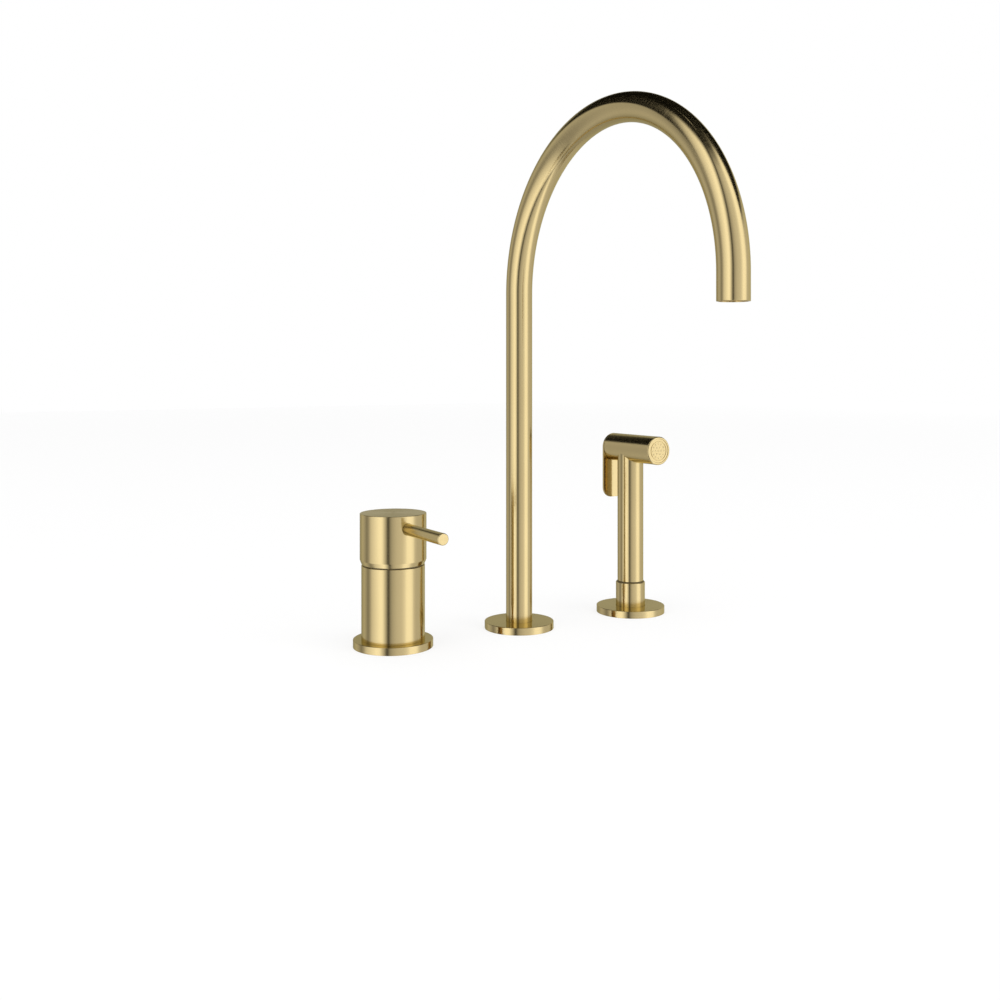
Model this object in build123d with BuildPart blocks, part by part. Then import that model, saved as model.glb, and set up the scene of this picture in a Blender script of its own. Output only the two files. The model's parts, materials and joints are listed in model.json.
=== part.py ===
"""Three-hole kitchen tap with a side spray: mixer, swivelling arch spout and pull-out hand spray.

Millimetres. The origin is the middle of the spout's foot at deck level, +Z is up, +X runs along
the row from the mixer to the side spray, and -Y points at the person using the tap.
"""

from build123d import *
from math import radians, sin
import os

os.makedirs("parts", exist_ok=True)

# ------------------------------------------------------------------ the row and the deck
mixer_pitch = 117.0  # mixer axis to spout axis
spray_pitch = 118.0  # spout axis to side spray axis
deck_thickness = 30.0  # worktop that each unit is clamped to

# ------------------------------------------------------------------ play and films
running_fit = 0.05  # radial play of a shaft turning or sliding in its bore
thread_fit = 0.05  # radial play of a screwed joint, drawn plain
seat_gap = 0.1  # left between a loose piece and the seat it rests on
end_play = 0.3  # axial play of a turning piece between its shoulders
sealing_film = 0.02  # what is left between a seal and the wall it slides on

# ------------------------------------------------------------------ foot flanges and deck fixing
flange_height = 6.0
flange_bevel = 0.4
mixer_flange_radius = 31.45
spout_flange_radius = 29.05
spray_flange_radius = 30.3
gasket_height = 1.5
gasket_width = 6.0
gasket_inset = 3.0  # rim of metal left outside the gasket
rubber_washer_height = 3.0
steel_washer_height = 2.0
washer_width = 9.0
washer_play = 0.3
lock_nut_height = 8.0
lock_nut_wall = 5.0  # thread to the middle of each flat
thread_tail = 12.0  # thread left showing below the lock nut
thread_chamfer = 0.8
mixer_thread_radius = 16.5  # M33
spout_thread_radius = 14.0  # M28
spray_thread_radius = 12.0  # M24

# ------------------------------------------------------------------ mixer
mixer_body_radius = 24.95
mixer_body_top = 64.0
mixer_spigot_radius = 20.0
mixer_spigot_height = 3.0  # how far the body's foot drops into its flange
mixer_shank_bore = 14.0  # radius, passes three hose tails
mixer_shank_engagement = 11.0  # thread of the shank inside the body
mixer_floor_thickness = 12.0  # floor between the shank socket and the cartridge
hose_thread_radius = 4.5  # M10 hose tails
hose_thread_length = 9.0
hose_ring_radius = 7.5  # the hose threads sit on this circle
hose_count = 3  # hot and cold in, mixed water out
port_radius = 2.6
cartridge_radius = 17.4
cartridge_base_height = 4.0
port_seal_width = 1.2
port_seal_height = 1.2
disc_thickness = 3.0
fixed_disc_radius = 13.5
moving_disc_radius = 13.0
mixing_recess_depth = 1.5
mixing_recess_width = 5.4
mixing_recess_start = -30.0  # degrees
mixing_recess_arc = 240.0
disc_carrier_radius = 12.5
disc_carrier_height = 3.0
cartridge_chamber_height = 24.0  # chamber floor to the shoulder under the cartridge nut
cartridge_neck_radius = 9.0
cartridge_neck_height = 12.0
cartridge_nut_radius = 19.45
cartridge_nut_hex = 15.0  # centre to flat
cartridge_nut_hex_height = 8.0
cartridge_nut_thread = 10.0
stem_radius = 5.0
stem_square = 8.0  # across the flats that the cap sits on
stem_square_corner = 0.8
glide_ring_height = 0.8
glide_ring_inner = 21.0
glide_ring_outer = 23.8

# ------------------------------------------------------------------ mixer cap and lever
cap_radius = 26.15
lever_cover = 10.0  # lever's axis below the cap's top
cap_gap = 1.0  # shadow line between body and cap
cap_chamfer_height = 3.5  # chamfer round the cap's lower edge
cap_chamfer_width = 1.4
cap_bevel = 0.4
cap_wall = 3.25
cap_crown = 18.7  # solid upper part of the cap
cap_hub_radius = 9.0
cap_hub_depth = 12.0  # how far the hub hangs below the crown
stem_square_depth = 24.5  # depth of the square socket in the hub
lever_radius = 4.5
lever_height = 94.7
lever_reach = 83.5  # mixer axis to the lever's tip
lever_bevel = 0.5
lever_seat_depth = 1.2
lever_countersink = 0.2  # bevel round the lever's hole in the cap
lever_stud_radius = 2.45  # M5
lever_stud_length = 10.0
grub_screw_length = 6.0
grub_socket_radius = 1.45
grub_socket_depth = 2.5

# ------------------------------------------------------------------ spout
spout_radius = 11.0
spout_wall = 1.5
bend_radius = 129.5
outlet_height = 261.5
outlet_drop = 19.0  # straight tube between the arch and the outlet
outlet_bevel = 0.4
slip_ring_height = 1.0
flange_web = 2.2  # thickness of the flange around the tube
spigot_radius = 7.95
spigot_bore = 5.5
spigot_length = 25.0  # below the foot of the tube
spigot_socket_length = 22.0  # inside the tube
spout_seal_pitch = 6.0
spout_seal_depth = 7.5  # first seal below the foot of the tube
o_ring_radius = 0.9
clip_depth = 20.5  # snap ring below the foot of the tube
clip_wire_radius = 0.55
clip_opening = 40.0  # degrees
spout_hose_thread_radius = 7.5  # G3/8
spout_hose_thread_length = 14.0
spout_waterway_radius = 6.0
insert_radius = 8.25
insert_height = 14.0
insert_recess = 0.8
insert_shoulder = 2.0
aerator_recess = 1.0
aerator_wall = 1.6
aerator_height = 9.5
aerator_notch = 1.8
aerator_notch_depth = 1.2
aerator_notch_count = 4
straightener_recess = 0.8
straightener_height = 3.0
straightener_cell = 0.75  # centre to flat of each cell
straightener_web = 0.3
straightener_rows = 7
aerator_seal_height = 1.5

# ------------------------------------------------------------------ side spray holder
holder_radius = 12.95
holder_top = 27.0
holder_chamfer = 0.55
holder_seat_depth = 1.0  # how far the collar drops into its flange
holder_mouth_depth = 3.0
holder_mouth_play = 0.5  # ring gap round the handle
liner_bore = 10.9
liner_foot = 4.0
liner_rim_height = 3.7
shank_bore = 10.25
cone_top_radius = 10.3
cone_foot_radius = 9.3
cone_foot = 8.0

# ------------------------------------------------------------------ side spray handset
handle_radius = 11.525
handle_wall = 1.2
handle_lift = 0.3  # handle's foot above the liner's rim
inlet_thread_radius = 7.5  # M15 hose thread
inlet_thread_length = 12.0
inlet_bore = 5.0
swivel_neck_radius = 6.0
swivel_neck_bore = 3.2
swivel_groove_radius = 4.8  # bottom of the snap ring's groove
swivel_clip_radius = 7.4
swivel_clip_height = 1.0
swivel_clip_gap = 4.8
swivel_neck_end = 2.0  # neck above its snap ring
handle_foot_height = 12.0
foot_socket_height = 9.0
waterway_outer = 8.0
waterway_inner = 6.5
check_valve_length = 11.5
check_valve_bore = 3.0
check_valve_start = 0.5
head_radius = 12.35
head_wall = 1.85
head_height = 146.5
head_front = 40.0  # handle axis to the spray face
head_back = 22.9  # handle axis to the open rear end
head_bevel = 0.7
face_recess = 0.4
face_wall = 2.0
face_cup_depth = 15.6
face_cup_wall = 1.9
face_groove_radius = 8.3
face_groove_width = 0.5
face_groove_depth = 0.4
face_seal_height = 2.0
nozzle_radius = 0.8
nozzle_bore = 0.4
nozzle_height = 0.3
nozzle_mat_height = 1.2
nozzle_rings = ((0.0, 1), (3.1, 6), (6.2, 12))  # ring radius and nozzles on it
valve_chamber_radius = 7.0
valve_seat_radius = 3.6
valve_seat_wall = 3.8
valve_guide_length = 4.0  # bearing of the stem in the valve body's rear wall
valve_tail_gap = 1.0  # valve body to the trigger's fork

# ------------------------------------------------------------------ trigger and its valve
trigger_thickness = 2.0
trigger_gap = 0.4  # joint line between the head and the lever
trigger_foot = 100.8
trigger_corner = 8.75
trigger_bevel = 0.3
trigger_swing = 7.0  # degrees that the lever is squeezed through
swing_relief = 1.0  # degrees by which the head's rear end is cut back further than that
pivot_drop = 8.0  # head axis down to the trigger's pin
pivot_inset = 2.1  # head's rear end to the pin
pin_radius = 1.0
pin_half_length = 8.2
hub_radius = 1.8
hub_half_width = 2.6
neck_drop = 1.0  # neck and fork start this far below the pin's axis
fork_front = 4.9  # fork's front face ahead of the head's rear end
fork_thickness = 1.8
fork_half_width = 4.8
fork_rise = 3.7  # prongs above the head's axis
fork_base_height = 3.4
stem_pin_radius = 2.0
stem_collar_radius = 3.6
stem_collar_height = 1.2
fork_play = 0.3
poppet_radius = 5.5
poppet_height = 3.0
poppet_seal_radius = 5.0
poppet_seal_height = 1.2
spring_wire_radius = 0.45
spring_coil_radius = 3.6
spring_turns = 6
stem_seal_radius = 0.75

# ------------------------------------------------------------------ what follows from those
FOOT = (Align.CENTER, Align.CENTER, Align.MIN)
TOP = (Align.CENTER, Align.CENTER, Align.MAX)
UPWARDS = (Align.CENTER, Align.MIN)

mixer_x = -mixer_pitch
spray_x = spray_pitch
rubber_washer_top = -deck_thickness
steel_washer_top = rubber_washer_top - rubber_washer_height
lock_nut_top = steel_washer_top - steel_washer_height
thread_end = lock_nut_top - lock_nut_height - thread_tail


def facing_user(x, y, z):
    """Plane through a point and square to Y: local x is +X, local y is up, outwards is -Y."""
    return Plane(origin=(x, y, z), x_dir=(1, 0, 0), z_dir=(0, -1, 0))


def side_view(x):
    """Plane of a unit's half section: local x is the radius, local y is the height."""
    return facing_user(x, 0, 0)


def upright(x):
    """Axis that the unit standing at x is turned about."""
    return Axis((x, 0, 0), (0, 0, 1))


def at_each_hose():
    """Places of the hose threads round the mixer's axis, the outlet at the back."""
    return PolarLocations(hose_ring_radius, hose_count, start_angle=90)


# ================================================================== deck fixings of all three units
units = {
    "mixer": (mixer_x, mixer_flange_radius, mixer_thread_radius),
    "spout": (0.0, spout_flange_radius, spout_thread_radius),
    "spray": (spray_x, spray_flange_radius, spray_thread_radius),
}
for unit, (x, flange_radius, thread_radius) in units.items():
    gasket_outer = flange_radius - gasket_inset

    # flat seal let into the flange's underside
    with BuildPart(Plane((x, 0, 0))) as gasket:
        Cylinder(gasket_outer, gasket_height, align=FOOT)
        Cylinder(gasket_outer - gasket_width, gasket_height, align=FOOT, mode=Mode.SUBTRACT)
    gasket.part.label = f"{unit}_gasket"
    export_step(gasket.part, f"parts/{unit}_gasket.step")

    # soft washer that bears on the deck's underside
    with BuildPart(Plane((x, 0, rubber_washer_top))) as rubber_washer:
        Cylinder(thread_radius + washer_width, rubber_washer_height, align=TOP)
        Cylinder(thread_radius + washer_play, rubber_washer_height, align=TOP, mode=Mode.SUBTRACT)
    rubber_washer.part.label = f"{unit}_rubber_washer"
    export_step(rubber_washer.part, f"parts/{unit}_rubber_washer.step")

    with BuildPart(Plane((x, 0, steel_washer_top))) as steel_washer:
        Cylinder(thread_radius + washer_width, steel_washer_height, align=TOP)
        Cylinder(thread_radius + washer_play, steel_washer_height, align=TOP, mode=Mode.SUBTRACT)
    steel_washer.part.label = f"{unit}_steel_washer"
    export_step(steel_washer.part, f"parts/{unit}_steel_washer.step")

    with BuildPart() as lock_nut:
        with BuildSketch(Plane((x, 0, lock_nut_top - lock_nut_height))):
            RegularPolygon(thread_radius + lock_nut_wall, 6, major_radius=False)
            Circle(thread_radius + thread_fit, mode=Mode.SUBTRACT)
        extrude(amount=lock_nut_height)
    lock_nut.part.label = f"{unit}_lock_nut"
    export_step(lock_nut.part, f"parts/{unit}_lock_nut.step")


def flange_section(flange_radius, lower_bore, upper_bore, step):
    """Half section of a foot flange, with a stepped bore and a groove for the gasket."""
    gasket_outer = flange_radius - gasket_inset
    gasket_inner = gasket_outer - gasket_width
    return (
        (lower_bore, 0),
        (gasket_inner, 0),
        (gasket_inner, gasket_height),
        (gasket_outer, gasket_height),
        (gasket_outer, 0),
        (flange_radius, 0),
        (flange_radius, flange_height - flange_bevel),
        (flange_radius - flange_bevel, flange_height),
        (upper_bore, flange_height),
        (upper_bore, step),
        (lower_bore, step),
    )


# ================================================================== mixer: what stands still
body_foot = flange_height - mixer_spigot_height
shank_top = body_foot + mixer_shank_engagement
chamber_floor = shank_top + mixer_floor_thickness
base_top = chamber_floor + cartridge_base_height
nut_shoulder = chamber_floor + cartridge_chamber_height
neck_top = nut_shoulder + cartridge_neck_height
carrier_foot = base_top + 2 * disc_thickness + sealing_film
carrier_top = carrier_foot + disc_carrier_height
cavity_top = carrier_top + end_play
cap_top = lever_height + lever_cover
hub_foot = cap_top - cap_crown - cap_hub_depth
socket_top = hub_foot + stem_square_depth
stem_seal_height = (cavity_top + neck_top) / 2

with BuildPart() as mixer_flange:
    with BuildSketch(side_view(mixer_x)):
        Polygon(
            *flange_section(
                mixer_flange_radius,
                mixer_thread_radius + thread_fit,
                mixer_spigot_radius + thread_fit,
                body_foot,
            )
        )
    revolve(axis=upright(mixer_x))
mixer_flange.part.label = "mixer_flange"
export_step(mixer_flange.part, "parts/mixer_flange.step")

# threaded tube that clamps the mixer to the deck and lets the hoses through
with BuildPart(Plane((mixer_x, 0, thread_end))) as mixer_shank:
    Cylinder(mixer_thread_radius, shank_top - thread_end, align=FOOT)
    chamfer(mixer_shank.edges().group_by(Axis.Z)[0], thread_chamfer)
    Cylinder(mixer_shank_bore, shank_top - thread_end, align=FOOT, mode=Mode.SUBTRACT)
mixer_shank.part.label = "mixer_shank"
export_step(mixer_shank.part, "parts/mixer_shank.step")

# body: socket for the shank, floor with three hose threads, cartridge chamber
with BuildPart() as mixer_body:
    with BuildSketch(side_view(mixer_x)):
        Polygon(
            (mixer_thread_radius + thread_fit, body_foot),
            (mixer_spigot_radius, body_foot),
            (mixer_spigot_radius, flange_height),
            (mixer_body_radius, flange_height),
            (mixer_body_radius, mixer_body_top - cap_bevel),
            (mixer_body_radius - cap_bevel, mixer_body_top),
            (cartridge_nut_radius + thread_fit, mixer_body_top),
            (cartridge_nut_radius + thread_fit, nut_shoulder),
            (cartridge_radius + running_fit, nut_shoulder),
            (cartridge_radius + running_fit, chamber_floor),
            (0, chamber_floor),
            (0, shank_top),
            (mixer_thread_radius + thread_fit, shank_top),
        )
    revolve(axis=upright(mixer_x))
    with BuildSketch(Plane((mixer_x, 0, shank_top))):
        with at_each_hose():
            Circle(hose_thread_radius)
    extrude(amount=hose_thread_length, mode=Mode.SUBTRACT)
    with BuildSketch(Plane((mixer_x, 0, shank_top))):
        with at_each_hose():
            Circle(port_radius)
    extrude(amount=mixer_floor_thickness, mode=Mode.SUBTRACT)
mixer_body.part.label = "mixer_body"
export_step(mixer_body.part, "parts/mixer_body.step")

# plastic base of the cartridge, with a seal let in round each port
chamber_plane = Plane((mixer_x, 0, chamber_floor))
with BuildPart(chamber_plane) as cartridge_base:
    Cylinder(cartridge_radius, cartridge_base_height, align=FOOT)
    with BuildSketch(chamber_plane):
        with at_each_hose():
            Circle(port_radius)
    extrude(amount=cartridge_base_height, mode=Mode.SUBTRACT)
    with BuildSketch(chamber_plane):
        with at_each_hose():
            Circle(port_radius + port_seal_width)
    extrude(amount=port_seal_height, mode=Mode.SUBTRACT)
cartridge_base.part.label = "cartridge_base"
export_step(cartridge_base.part, "parts/cartridge_base.step")

with BuildPart() as cartridge_seals:
    with BuildSketch(chamber_plane):
        with at_each_hose():
            Circle(port_radius + port_seal_width)
            Circle(port_radius, mode=Mode.SUBTRACT)
    extrude(amount=port_seal_height)
cartridge_seals.part.label = "cartridge_seals"
export_step(cartridge_seals.part, "parts/cartridge_seals.step")

fixed_disc_plane = Plane((mixer_x, 0, base_top))
with BuildPart(fixed_disc_plane) as fixed_ceramic_disc:
    Cylinder(fixed_disc_radius, disc_thickness, align=FOOT)
    with BuildSketch(fixed_disc_plane):
        with at_each_hose():
            Circle(port_radius)
    extrude(amount=disc_thickness, mode=Mode.SUBTRACT)
fixed_ceramic_disc.part.label = "fixed_ceramic_disc"
export_step(fixed_ceramic_disc.part, "parts/fixed_ceramic_disc.step")

with BuildPart() as cartridge_housing:
    with BuildSketch(side_view(mixer_x)):
        Polygon(
            (fixed_disc_radius + running_fit, base_top),
            (cartridge_radius, base_top),
            (cartridge_radius, nut_shoulder),
            (cartridge_neck_radius, nut_shoulder),
            (cartridge_neck_radius, neck_top),
            (stem_radius + running_fit, neck_top),
            (stem_radius + running_fit, cavity_top),
            (fixed_disc_radius + running_fit, cavity_top),
        )
    revolve(axis=upright(mixer_x))
cartridge_housing.part.label = "cartridge_housing"
export_step(cartridge_housing.part, "parts/cartridge_housing.step")

# ring nut that presses the cartridge onto its floor
with BuildPart(Plane((mixer_x, 0, nut_shoulder))) as cartridge_nut:
    Cylinder(cartridge_nut_radius, cartridge_nut_thread, align=FOOT)
    with BuildSketch(Plane((mixer_x, 0, nut_shoulder + cartridge_nut_thread))):
        RegularPolygon(cartridge_nut_hex, 6, major_radius=False)
    extrude(amount=cartridge_nut_hex_height)
    Cylinder(
        cartridge_neck_radius + running_fit,
        cartridge_nut_thread + cartridge_nut_hex_height,
        align=FOOT,
        mode=Mode.SUBTRACT,
    )
cartridge_nut.part.label = "cartridge_nut"
export_step(cartridge_nut.part, "parts/cartridge_nut.step")

# dark plastic ring in the shadow line under the cap
with BuildPart(Plane((mixer_x, 0, mixer_body_top))) as glide_ring:
    Cylinder(glide_ring_outer, glide_ring_height, align=FOOT)
    Cylinder(glide_ring_inner, glide_ring_height, align=FOOT, mode=Mode.SUBTRACT)
glide_ring.part.label = "glide_ring"
export_step(glide_ring.part, "parts/glide_ring.step")

# ================================================================== mixer: what turns with the lever
cap_foot = mixer_body_top + cap_gap
crown_foot = cap_top - cap_crown
stem_top = socket_top - end_play
lever_root = cap_radius - lever_seat_depth
grub_end = stem_square / 2 + seat_gap

moving_disc_plane = Plane((mixer_x, 0, base_top + disc_thickness + sealing_film))
with BuildPart(moving_disc_plane) as moving_ceramic_disc:
    Cylinder(moving_disc_radius, disc_thickness, align=FOOT)
    with BuildSketch(moving_disc_plane):
        with BuildLine() as recess_path:
            CenterArc((0, 0), hose_ring_radius, mixing_recess_start, mixing_recess_arc)
        SlotArc(recess_path.edge(), mixing_recess_width)
    extrude(amount=mixing_recess_depth, mode=Mode.SUBTRACT)
moving_ceramic_disc.part.label = "moving_ceramic_disc"
export_step(moving_ceramic_disc.part, "parts/moving_ceramic_disc.step")

# stem: disc carrier, round shaft with a groove for its seal, square end for the cap
seal_middle = stem_radius + running_fit - sealing_film - o_ring_radius
with BuildPart() as cartridge_stem:
    with BuildSketch(side_view(mixer_x)):
        Polygon(
            (0, carrier_foot),
            (disc_carrier_radius, carrier_foot),
            (disc_carrier_radius, carrier_top),
            (stem_radius, carrier_top),
            (stem_radius, hub_foot - end_play),
            (0, hub_foot - end_play),
        )
        with Locations((seal_middle, stem_seal_height)):
            Rectangle(
                2 * o_ring_radius,
                2 * (o_ring_radius + seat_gap),
                mode=Mode.SUBTRACT,
            )
    revolve(axis=upright(mixer_x))
    with BuildSketch(Plane((mixer_x, 0, hub_foot - end_play))):
        RectangleRounded(stem_square, stem_square, stem_square_corner)
    extrude(amount=stem_top - hub_foot + end_play)
cartridge_stem.part.label = "cartridge_stem"
export_step(cartridge_stem.part, "parts/cartridge_stem.step")

with BuildPart() as stem_o_ring:
    with BuildSketch(side_view(mixer_x)):
        with Locations((seal_middle, stem_seal_height)):
            Circle(o_ring_radius)
    revolve(axis=upright(mixer_x))
stem_o_ring.part.label = "stem_o_ring"
export_step(stem_o_ring.part, "parts/stem_o_ring.step")

# cap: chamfered skirt, solid crown and a hub on the square stem, cross-drilled for the lever
with BuildPart() as mixer_cap:
    with BuildSketch(side_view(mixer_x)):
        Polygon(
            (0, cap_top),
            (cap_radius - cap_bevel, cap_top),
            (cap_radius, cap_top - cap_bevel),
            (cap_radius, cap_foot + cap_chamfer_height),
            (cap_radius - cap_chamfer_width, cap_foot),
            (cap_radius - cap_wall, cap_foot),
            (cap_radius - cap_wall, crown_foot),
            (cap_hub_radius, crown_foot),
            (cap_hub_radius, hub_foot),
            (0, hub_foot),
        )
    revolve(axis=upright(mixer_x))
    with BuildSketch(Plane((mixer_x, 0, hub_foot))):
        Rectangle(stem_square + 2 * running_fit, stem_square + 2 * running_fit)
    extrude(amount=stem_square_depth, mode=Mode.SUBTRACT)
    with BuildSketch(facing_user(mixer_x, 0, lever_height)):
        Circle(lever_stud_radius + thread_fit)
    extrude(amount=cap_radius, mode=Mode.SUBTRACT)
    with BuildSketch(facing_user(mixer_x, -lever_root, lever_height)):
        Circle(lever_radius + running_fit)
    extrude(amount=lever_seat_depth, mode=Mode.SUBTRACT)
    hole_edges = mixer_cap.edges(Select.LAST).filter_by(GeomType.CIRCLE, reverse=True)
    chamfer(hole_edges, lever_countersink)
mixer_cap.part.label = "mixer_cap"
export_step(mixer_cap.part, "parts/mixer_cap.step")

with BuildPart(facing_user(mixer_x, -lever_root, lever_height)) as mixer_lever:
    Cylinder(lever_radius, lever_reach - lever_root, align=FOOT)
    chamfer(mixer_lever.edges().sort_by(Axis.Y)[0], lever_bevel)
    Cylinder(lever_stud_radius, lever_stud_length, align=TOP)
mixer_lever.part.label = "mixer_lever"
export_step(mixer_lever.part, "parts/mixer_lever.step")

# set screw behind the lever's stud, biting on the square stem
with BuildPart(facing_user(mixer_x, -grub_end, lever_height)) as cap_grub_screw:
    Cylinder(lever_stud_radius, grub_screw_length, align=FOOT)
    with BuildSketch(facing_user(mixer_x, -grub_end - grub_screw_length, lever_height)):
        RegularPolygon(grub_socket_radius, 6)
    extrude(amount=-grub_socket_depth, mode=Mode.SUBTRACT)
cap_grub_screw.part.label = "cap_grub_screw"
export_step(cap_grub_screw.part, "parts/cap_grub_screw.step")

# ================================================================== spout: what stands still
web_foot = flange_height - flange_web
shank_head = web_foot - slip_ring_height
tube_foot = web_foot + running_fit
tube_bore = spout_radius - spout_wall
spigot_end = tube_foot - spigot_length
clip_height = tube_foot - clip_depth
shank_groove = 2 * (clip_wire_radius + end_play)
spigot_groove = 2 * (clip_wire_radius + seat_gap)
shank_bore_floor = spigot_end - end_play
hose_thread_top = thread_end + spout_hose_thread_length

with BuildPart() as spout_flange:
    with BuildSketch(side_view(0)):
        Polygon(
            *flange_section(
                spout_flange_radius,
                spout_thread_radius + thread_fit,
                spout_radius + running_fit,
                web_foot,
            )
        )
    revolve(axis=upright(0))
spout_flange.part.label = "spout_flange"
export_step(spout_flange.part, "parts/spout_flange.step")

# shank: bearing bore for the spigot, snap ring groove, hose thread at the tail
with BuildPart() as spout_shank:
    with BuildSketch(side_view(0)):
        Polygon(
            (spigot_radius + running_fit, shank_head),
            (spout_thread_radius, shank_head),
            (spout_thread_radius, thread_end + thread_chamfer),
            (spout_thread_radius - thread_chamfer, thread_end),
            (spout_hose_thread_radius, thread_end),
            (spout_hose_thread_radius, hose_thread_top),
            (spout_waterway_radius, hose_thread_top),
            (spout_waterway_radius, shank_bore_floor),
            (spigot_radius + running_fit, shank_bore_floor),
        )
        with Locations((spigot_radius, clip_height)):
            Rectangle(shank_groove, shank_groove, mode=Mode.SUBTRACT)
    revolve(axis=upright(0))
spout_shank.part.label = "spout_shank"
export_step(spout_shank.part, "parts/spout_shank.step")

with BuildPart(Plane((0, 0, shank_head))) as spout_slip_ring:
    Cylinder(spout_thread_radius - seat_gap, slip_ring_height, align=FOOT)
    Cylinder(spigot_radius + seat_gap, slip_ring_height, align=FOOT, mode=Mode.SUBTRACT)
spout_slip_ring.part.label = "spout_slip_ring"
export_step(spout_slip_ring.part, "parts/spout_slip_ring.step")

# ================================================================== spout: what swivels
spout_seal_heights = (
    tube_foot - spout_seal_depth,
    tube_foot - spout_seal_depth - spout_seal_pitch,
)
spout_seal_middle = spigot_radius + running_fit - sealing_film - o_ring_radius
spring_line = outlet_height + outlet_drop  # where the riser turns into the arch

# bent tube: riser, half-circle arch and a short straight down to the outlet
with BuildPart() as spout_tube:
    with BuildLine() as spout_path:
        Line((0, 0, tube_foot), (0, 0, spring_line))
        ThreePointArc(
            (0, 0, spring_line),
            (0, -bend_radius, spring_line + bend_radius),
            (0, -2 * bend_radius, spring_line),
        )
        Line((0, -2 * bend_radius, spring_line), (0, -2 * bend_radius, outlet_height))
    with BuildSketch(Plane((0, 0, tube_foot))):
        Circle(spout_radius)
        Circle(tube_bore, mode=Mode.SUBTRACT)
    sweep(path=spout_path.wires()[0])
    outlet_rim = spout_tube.edges().filter_by(GeomType.CIRCLE).filter_by(
        lambda edge: abs(edge.arc_center.Z - outlet_height) < outlet_bevel
    )
    chamfer(outlet_rim.sort_by(SortBy.RADIUS)[-1], outlet_bevel)
spout_tube.part.label = "spout_tube"
export_step(spout_tube.part, "parts/spout_tube.step")

# turned spigot brazed into the tube's foot
with BuildPart() as spout_spigot:
    with BuildSketch(side_view(0)):
        Polygon(
            (spigot_bore, spigot_end),
            (spigot_radius, spigot_end),
            (spigot_radius, tube_foot),
            (tube_bore, tube_foot),
            (tube_bore, tube_foot + spigot_socket_length),
            (spigot_bore, tube_foot + spigot_socket_length),
        )
        with Locations(*[(spout_seal_middle, height) for height in spout_seal_heights]):
            Rectangle(2 * o_ring_radius, 2 * (o_ring_radius + seat_gap), mode=Mode.SUBTRACT)
        with Locations((spigot_radius, clip_height)):
            Rectangle(spigot_groove, spigot_groove, mode=Mode.SUBTRACT)
    revolve(axis=upright(0))
spout_spigot.part.label = "spout_spigot"
export_step(spout_spigot.part, "parts/spout_spigot.step")

with BuildPart() as spout_o_rings:
    with BuildSketch(side_view(0)):
        with Locations(*[(spout_seal_middle, height) for height in spout_seal_heights]):
            Circle(o_ring_radius)
    revolve(axis=upright(0))
spout_o_rings.part.label = "spout_o_rings"
export_step(spout_o_rings.part, "parts/spout_o_rings.step")

# open snap ring, half in the spigot's groove and half in the shank's
with BuildPart() as spout_snap_ring:
    with BuildSketch(side_view(0)):
        with Locations((spigot_radius, clip_height)):
            Circle(clip_wire_radius)
    revolve(axis=upright(0), revolution_arc=360 - clip_opening)
spout_snap_ring.part.label = "spout_snap_ring"
export_step(spout_snap_ring.part, "parts/spout_snap_ring.step")

# ------------------------------------------------------------------ outlet
outlet_y = -2 * bend_radius
outlet_view = facing_user(0, outlet_y, 0)
outlet_axis = Axis((0, outlet_y, 0), (0, 0, 1))
insert_foot = outlet_height + insert_recess
insert_top = insert_foot + insert_height
aerator_foot = outlet_height + aerator_recess
aerator_top = aerator_foot + aerator_height
aerator_radius = insert_radius - thread_fit
aerator_bore = aerator_radius - aerator_wall
straightener_foot = aerator_foot + straightener_recess

# threaded ring brazed into the outlet, with a shoulder for the aerator's seal
with BuildPart() as outlet_insert:
    with BuildSketch(outlet_view):
        Polygon(
            (insert_radius, insert_foot),
            (tube_bore, insert_foot),
            (tube_bore, insert_top),
            (aerator_bore, insert_top),
            (aerator_bore, insert_top - insert_shoulder),
            (insert_radius, insert_top - insert_shoulder),
        )
    revolve(axis=outlet_axis)
outlet_insert.part.label = "outlet_insert"
export_step(outlet_insert.part, "parts/outlet_insert.step")

# recessed aerator shell with four notches for its key
with BuildPart(Plane((0, outlet_y, aerator_foot))) as aerator_housing:
    Cylinder(aerator_radius, aerator_height, align=FOOT)
    Cylinder(aerator_bore, aerator_height, align=FOOT, mode=Mode.SUBTRACT)
    with PolarLocations(aerator_bore + aerator_wall / 2, aerator_notch_count, start_angle=45):
        Box(2 * aerator_wall, aerator_notch, aerator_notch_depth, align=FOOT, mode=Mode.SUBTRACT)
aerator_housing.part.label = "aerator_housing"
export_step(aerator_housing.part, "parts/aerator_housing.step")

# honeycomb that straightens the stream
cell_pitch = straightener_cell + straightener_web / 2
straightener_plane = Plane((0, outlet_y, straightener_foot))
with BuildPart(straightener_plane) as flow_straightener:
    Cylinder(aerator_bore, straightener_height, align=FOOT)
    with BuildSketch(straightener_plane):
        with HexLocations(cell_pitch, straightener_rows, straightener_rows) as cells:
            inside = [
                place
                for place in cells.local_locations
                if place.position.length + cell_pitch < aerator_bore - straightener_web
            ]
        with Locations(*inside):
            RegularPolygon(straightener_cell, 6, major_radius=False, rotation=30)
    extrude(amount=straightener_height, mode=Mode.SUBTRACT)
flow_straightener.part.label = "flow_straightener"
export_step(flow_straightener.part, "parts/flow_straightener.step")

with BuildPart(Plane((0, outlet_y, aerator_top))) as aerator_seal:
    Cylinder(aerator_radius, aerator_seal_height, align=FOOT)
    Cylinder(aerator_bore, aerator_seal_height, align=FOOT, mode=Mode.SUBTRACT)
aerator_seal.part.label = "aerator_seal"
export_step(aerator_seal.part, "parts/aerator_seal.step")

# ================================================================== side spray: what stands still
mouth_floor = holder_top - holder_mouth_depth
liner_rim_top = mouth_floor + liner_rim_height
mouth_radius = handle_radius + holder_mouth_play
holder_foot = flange_height - holder_seat_depth

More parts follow.
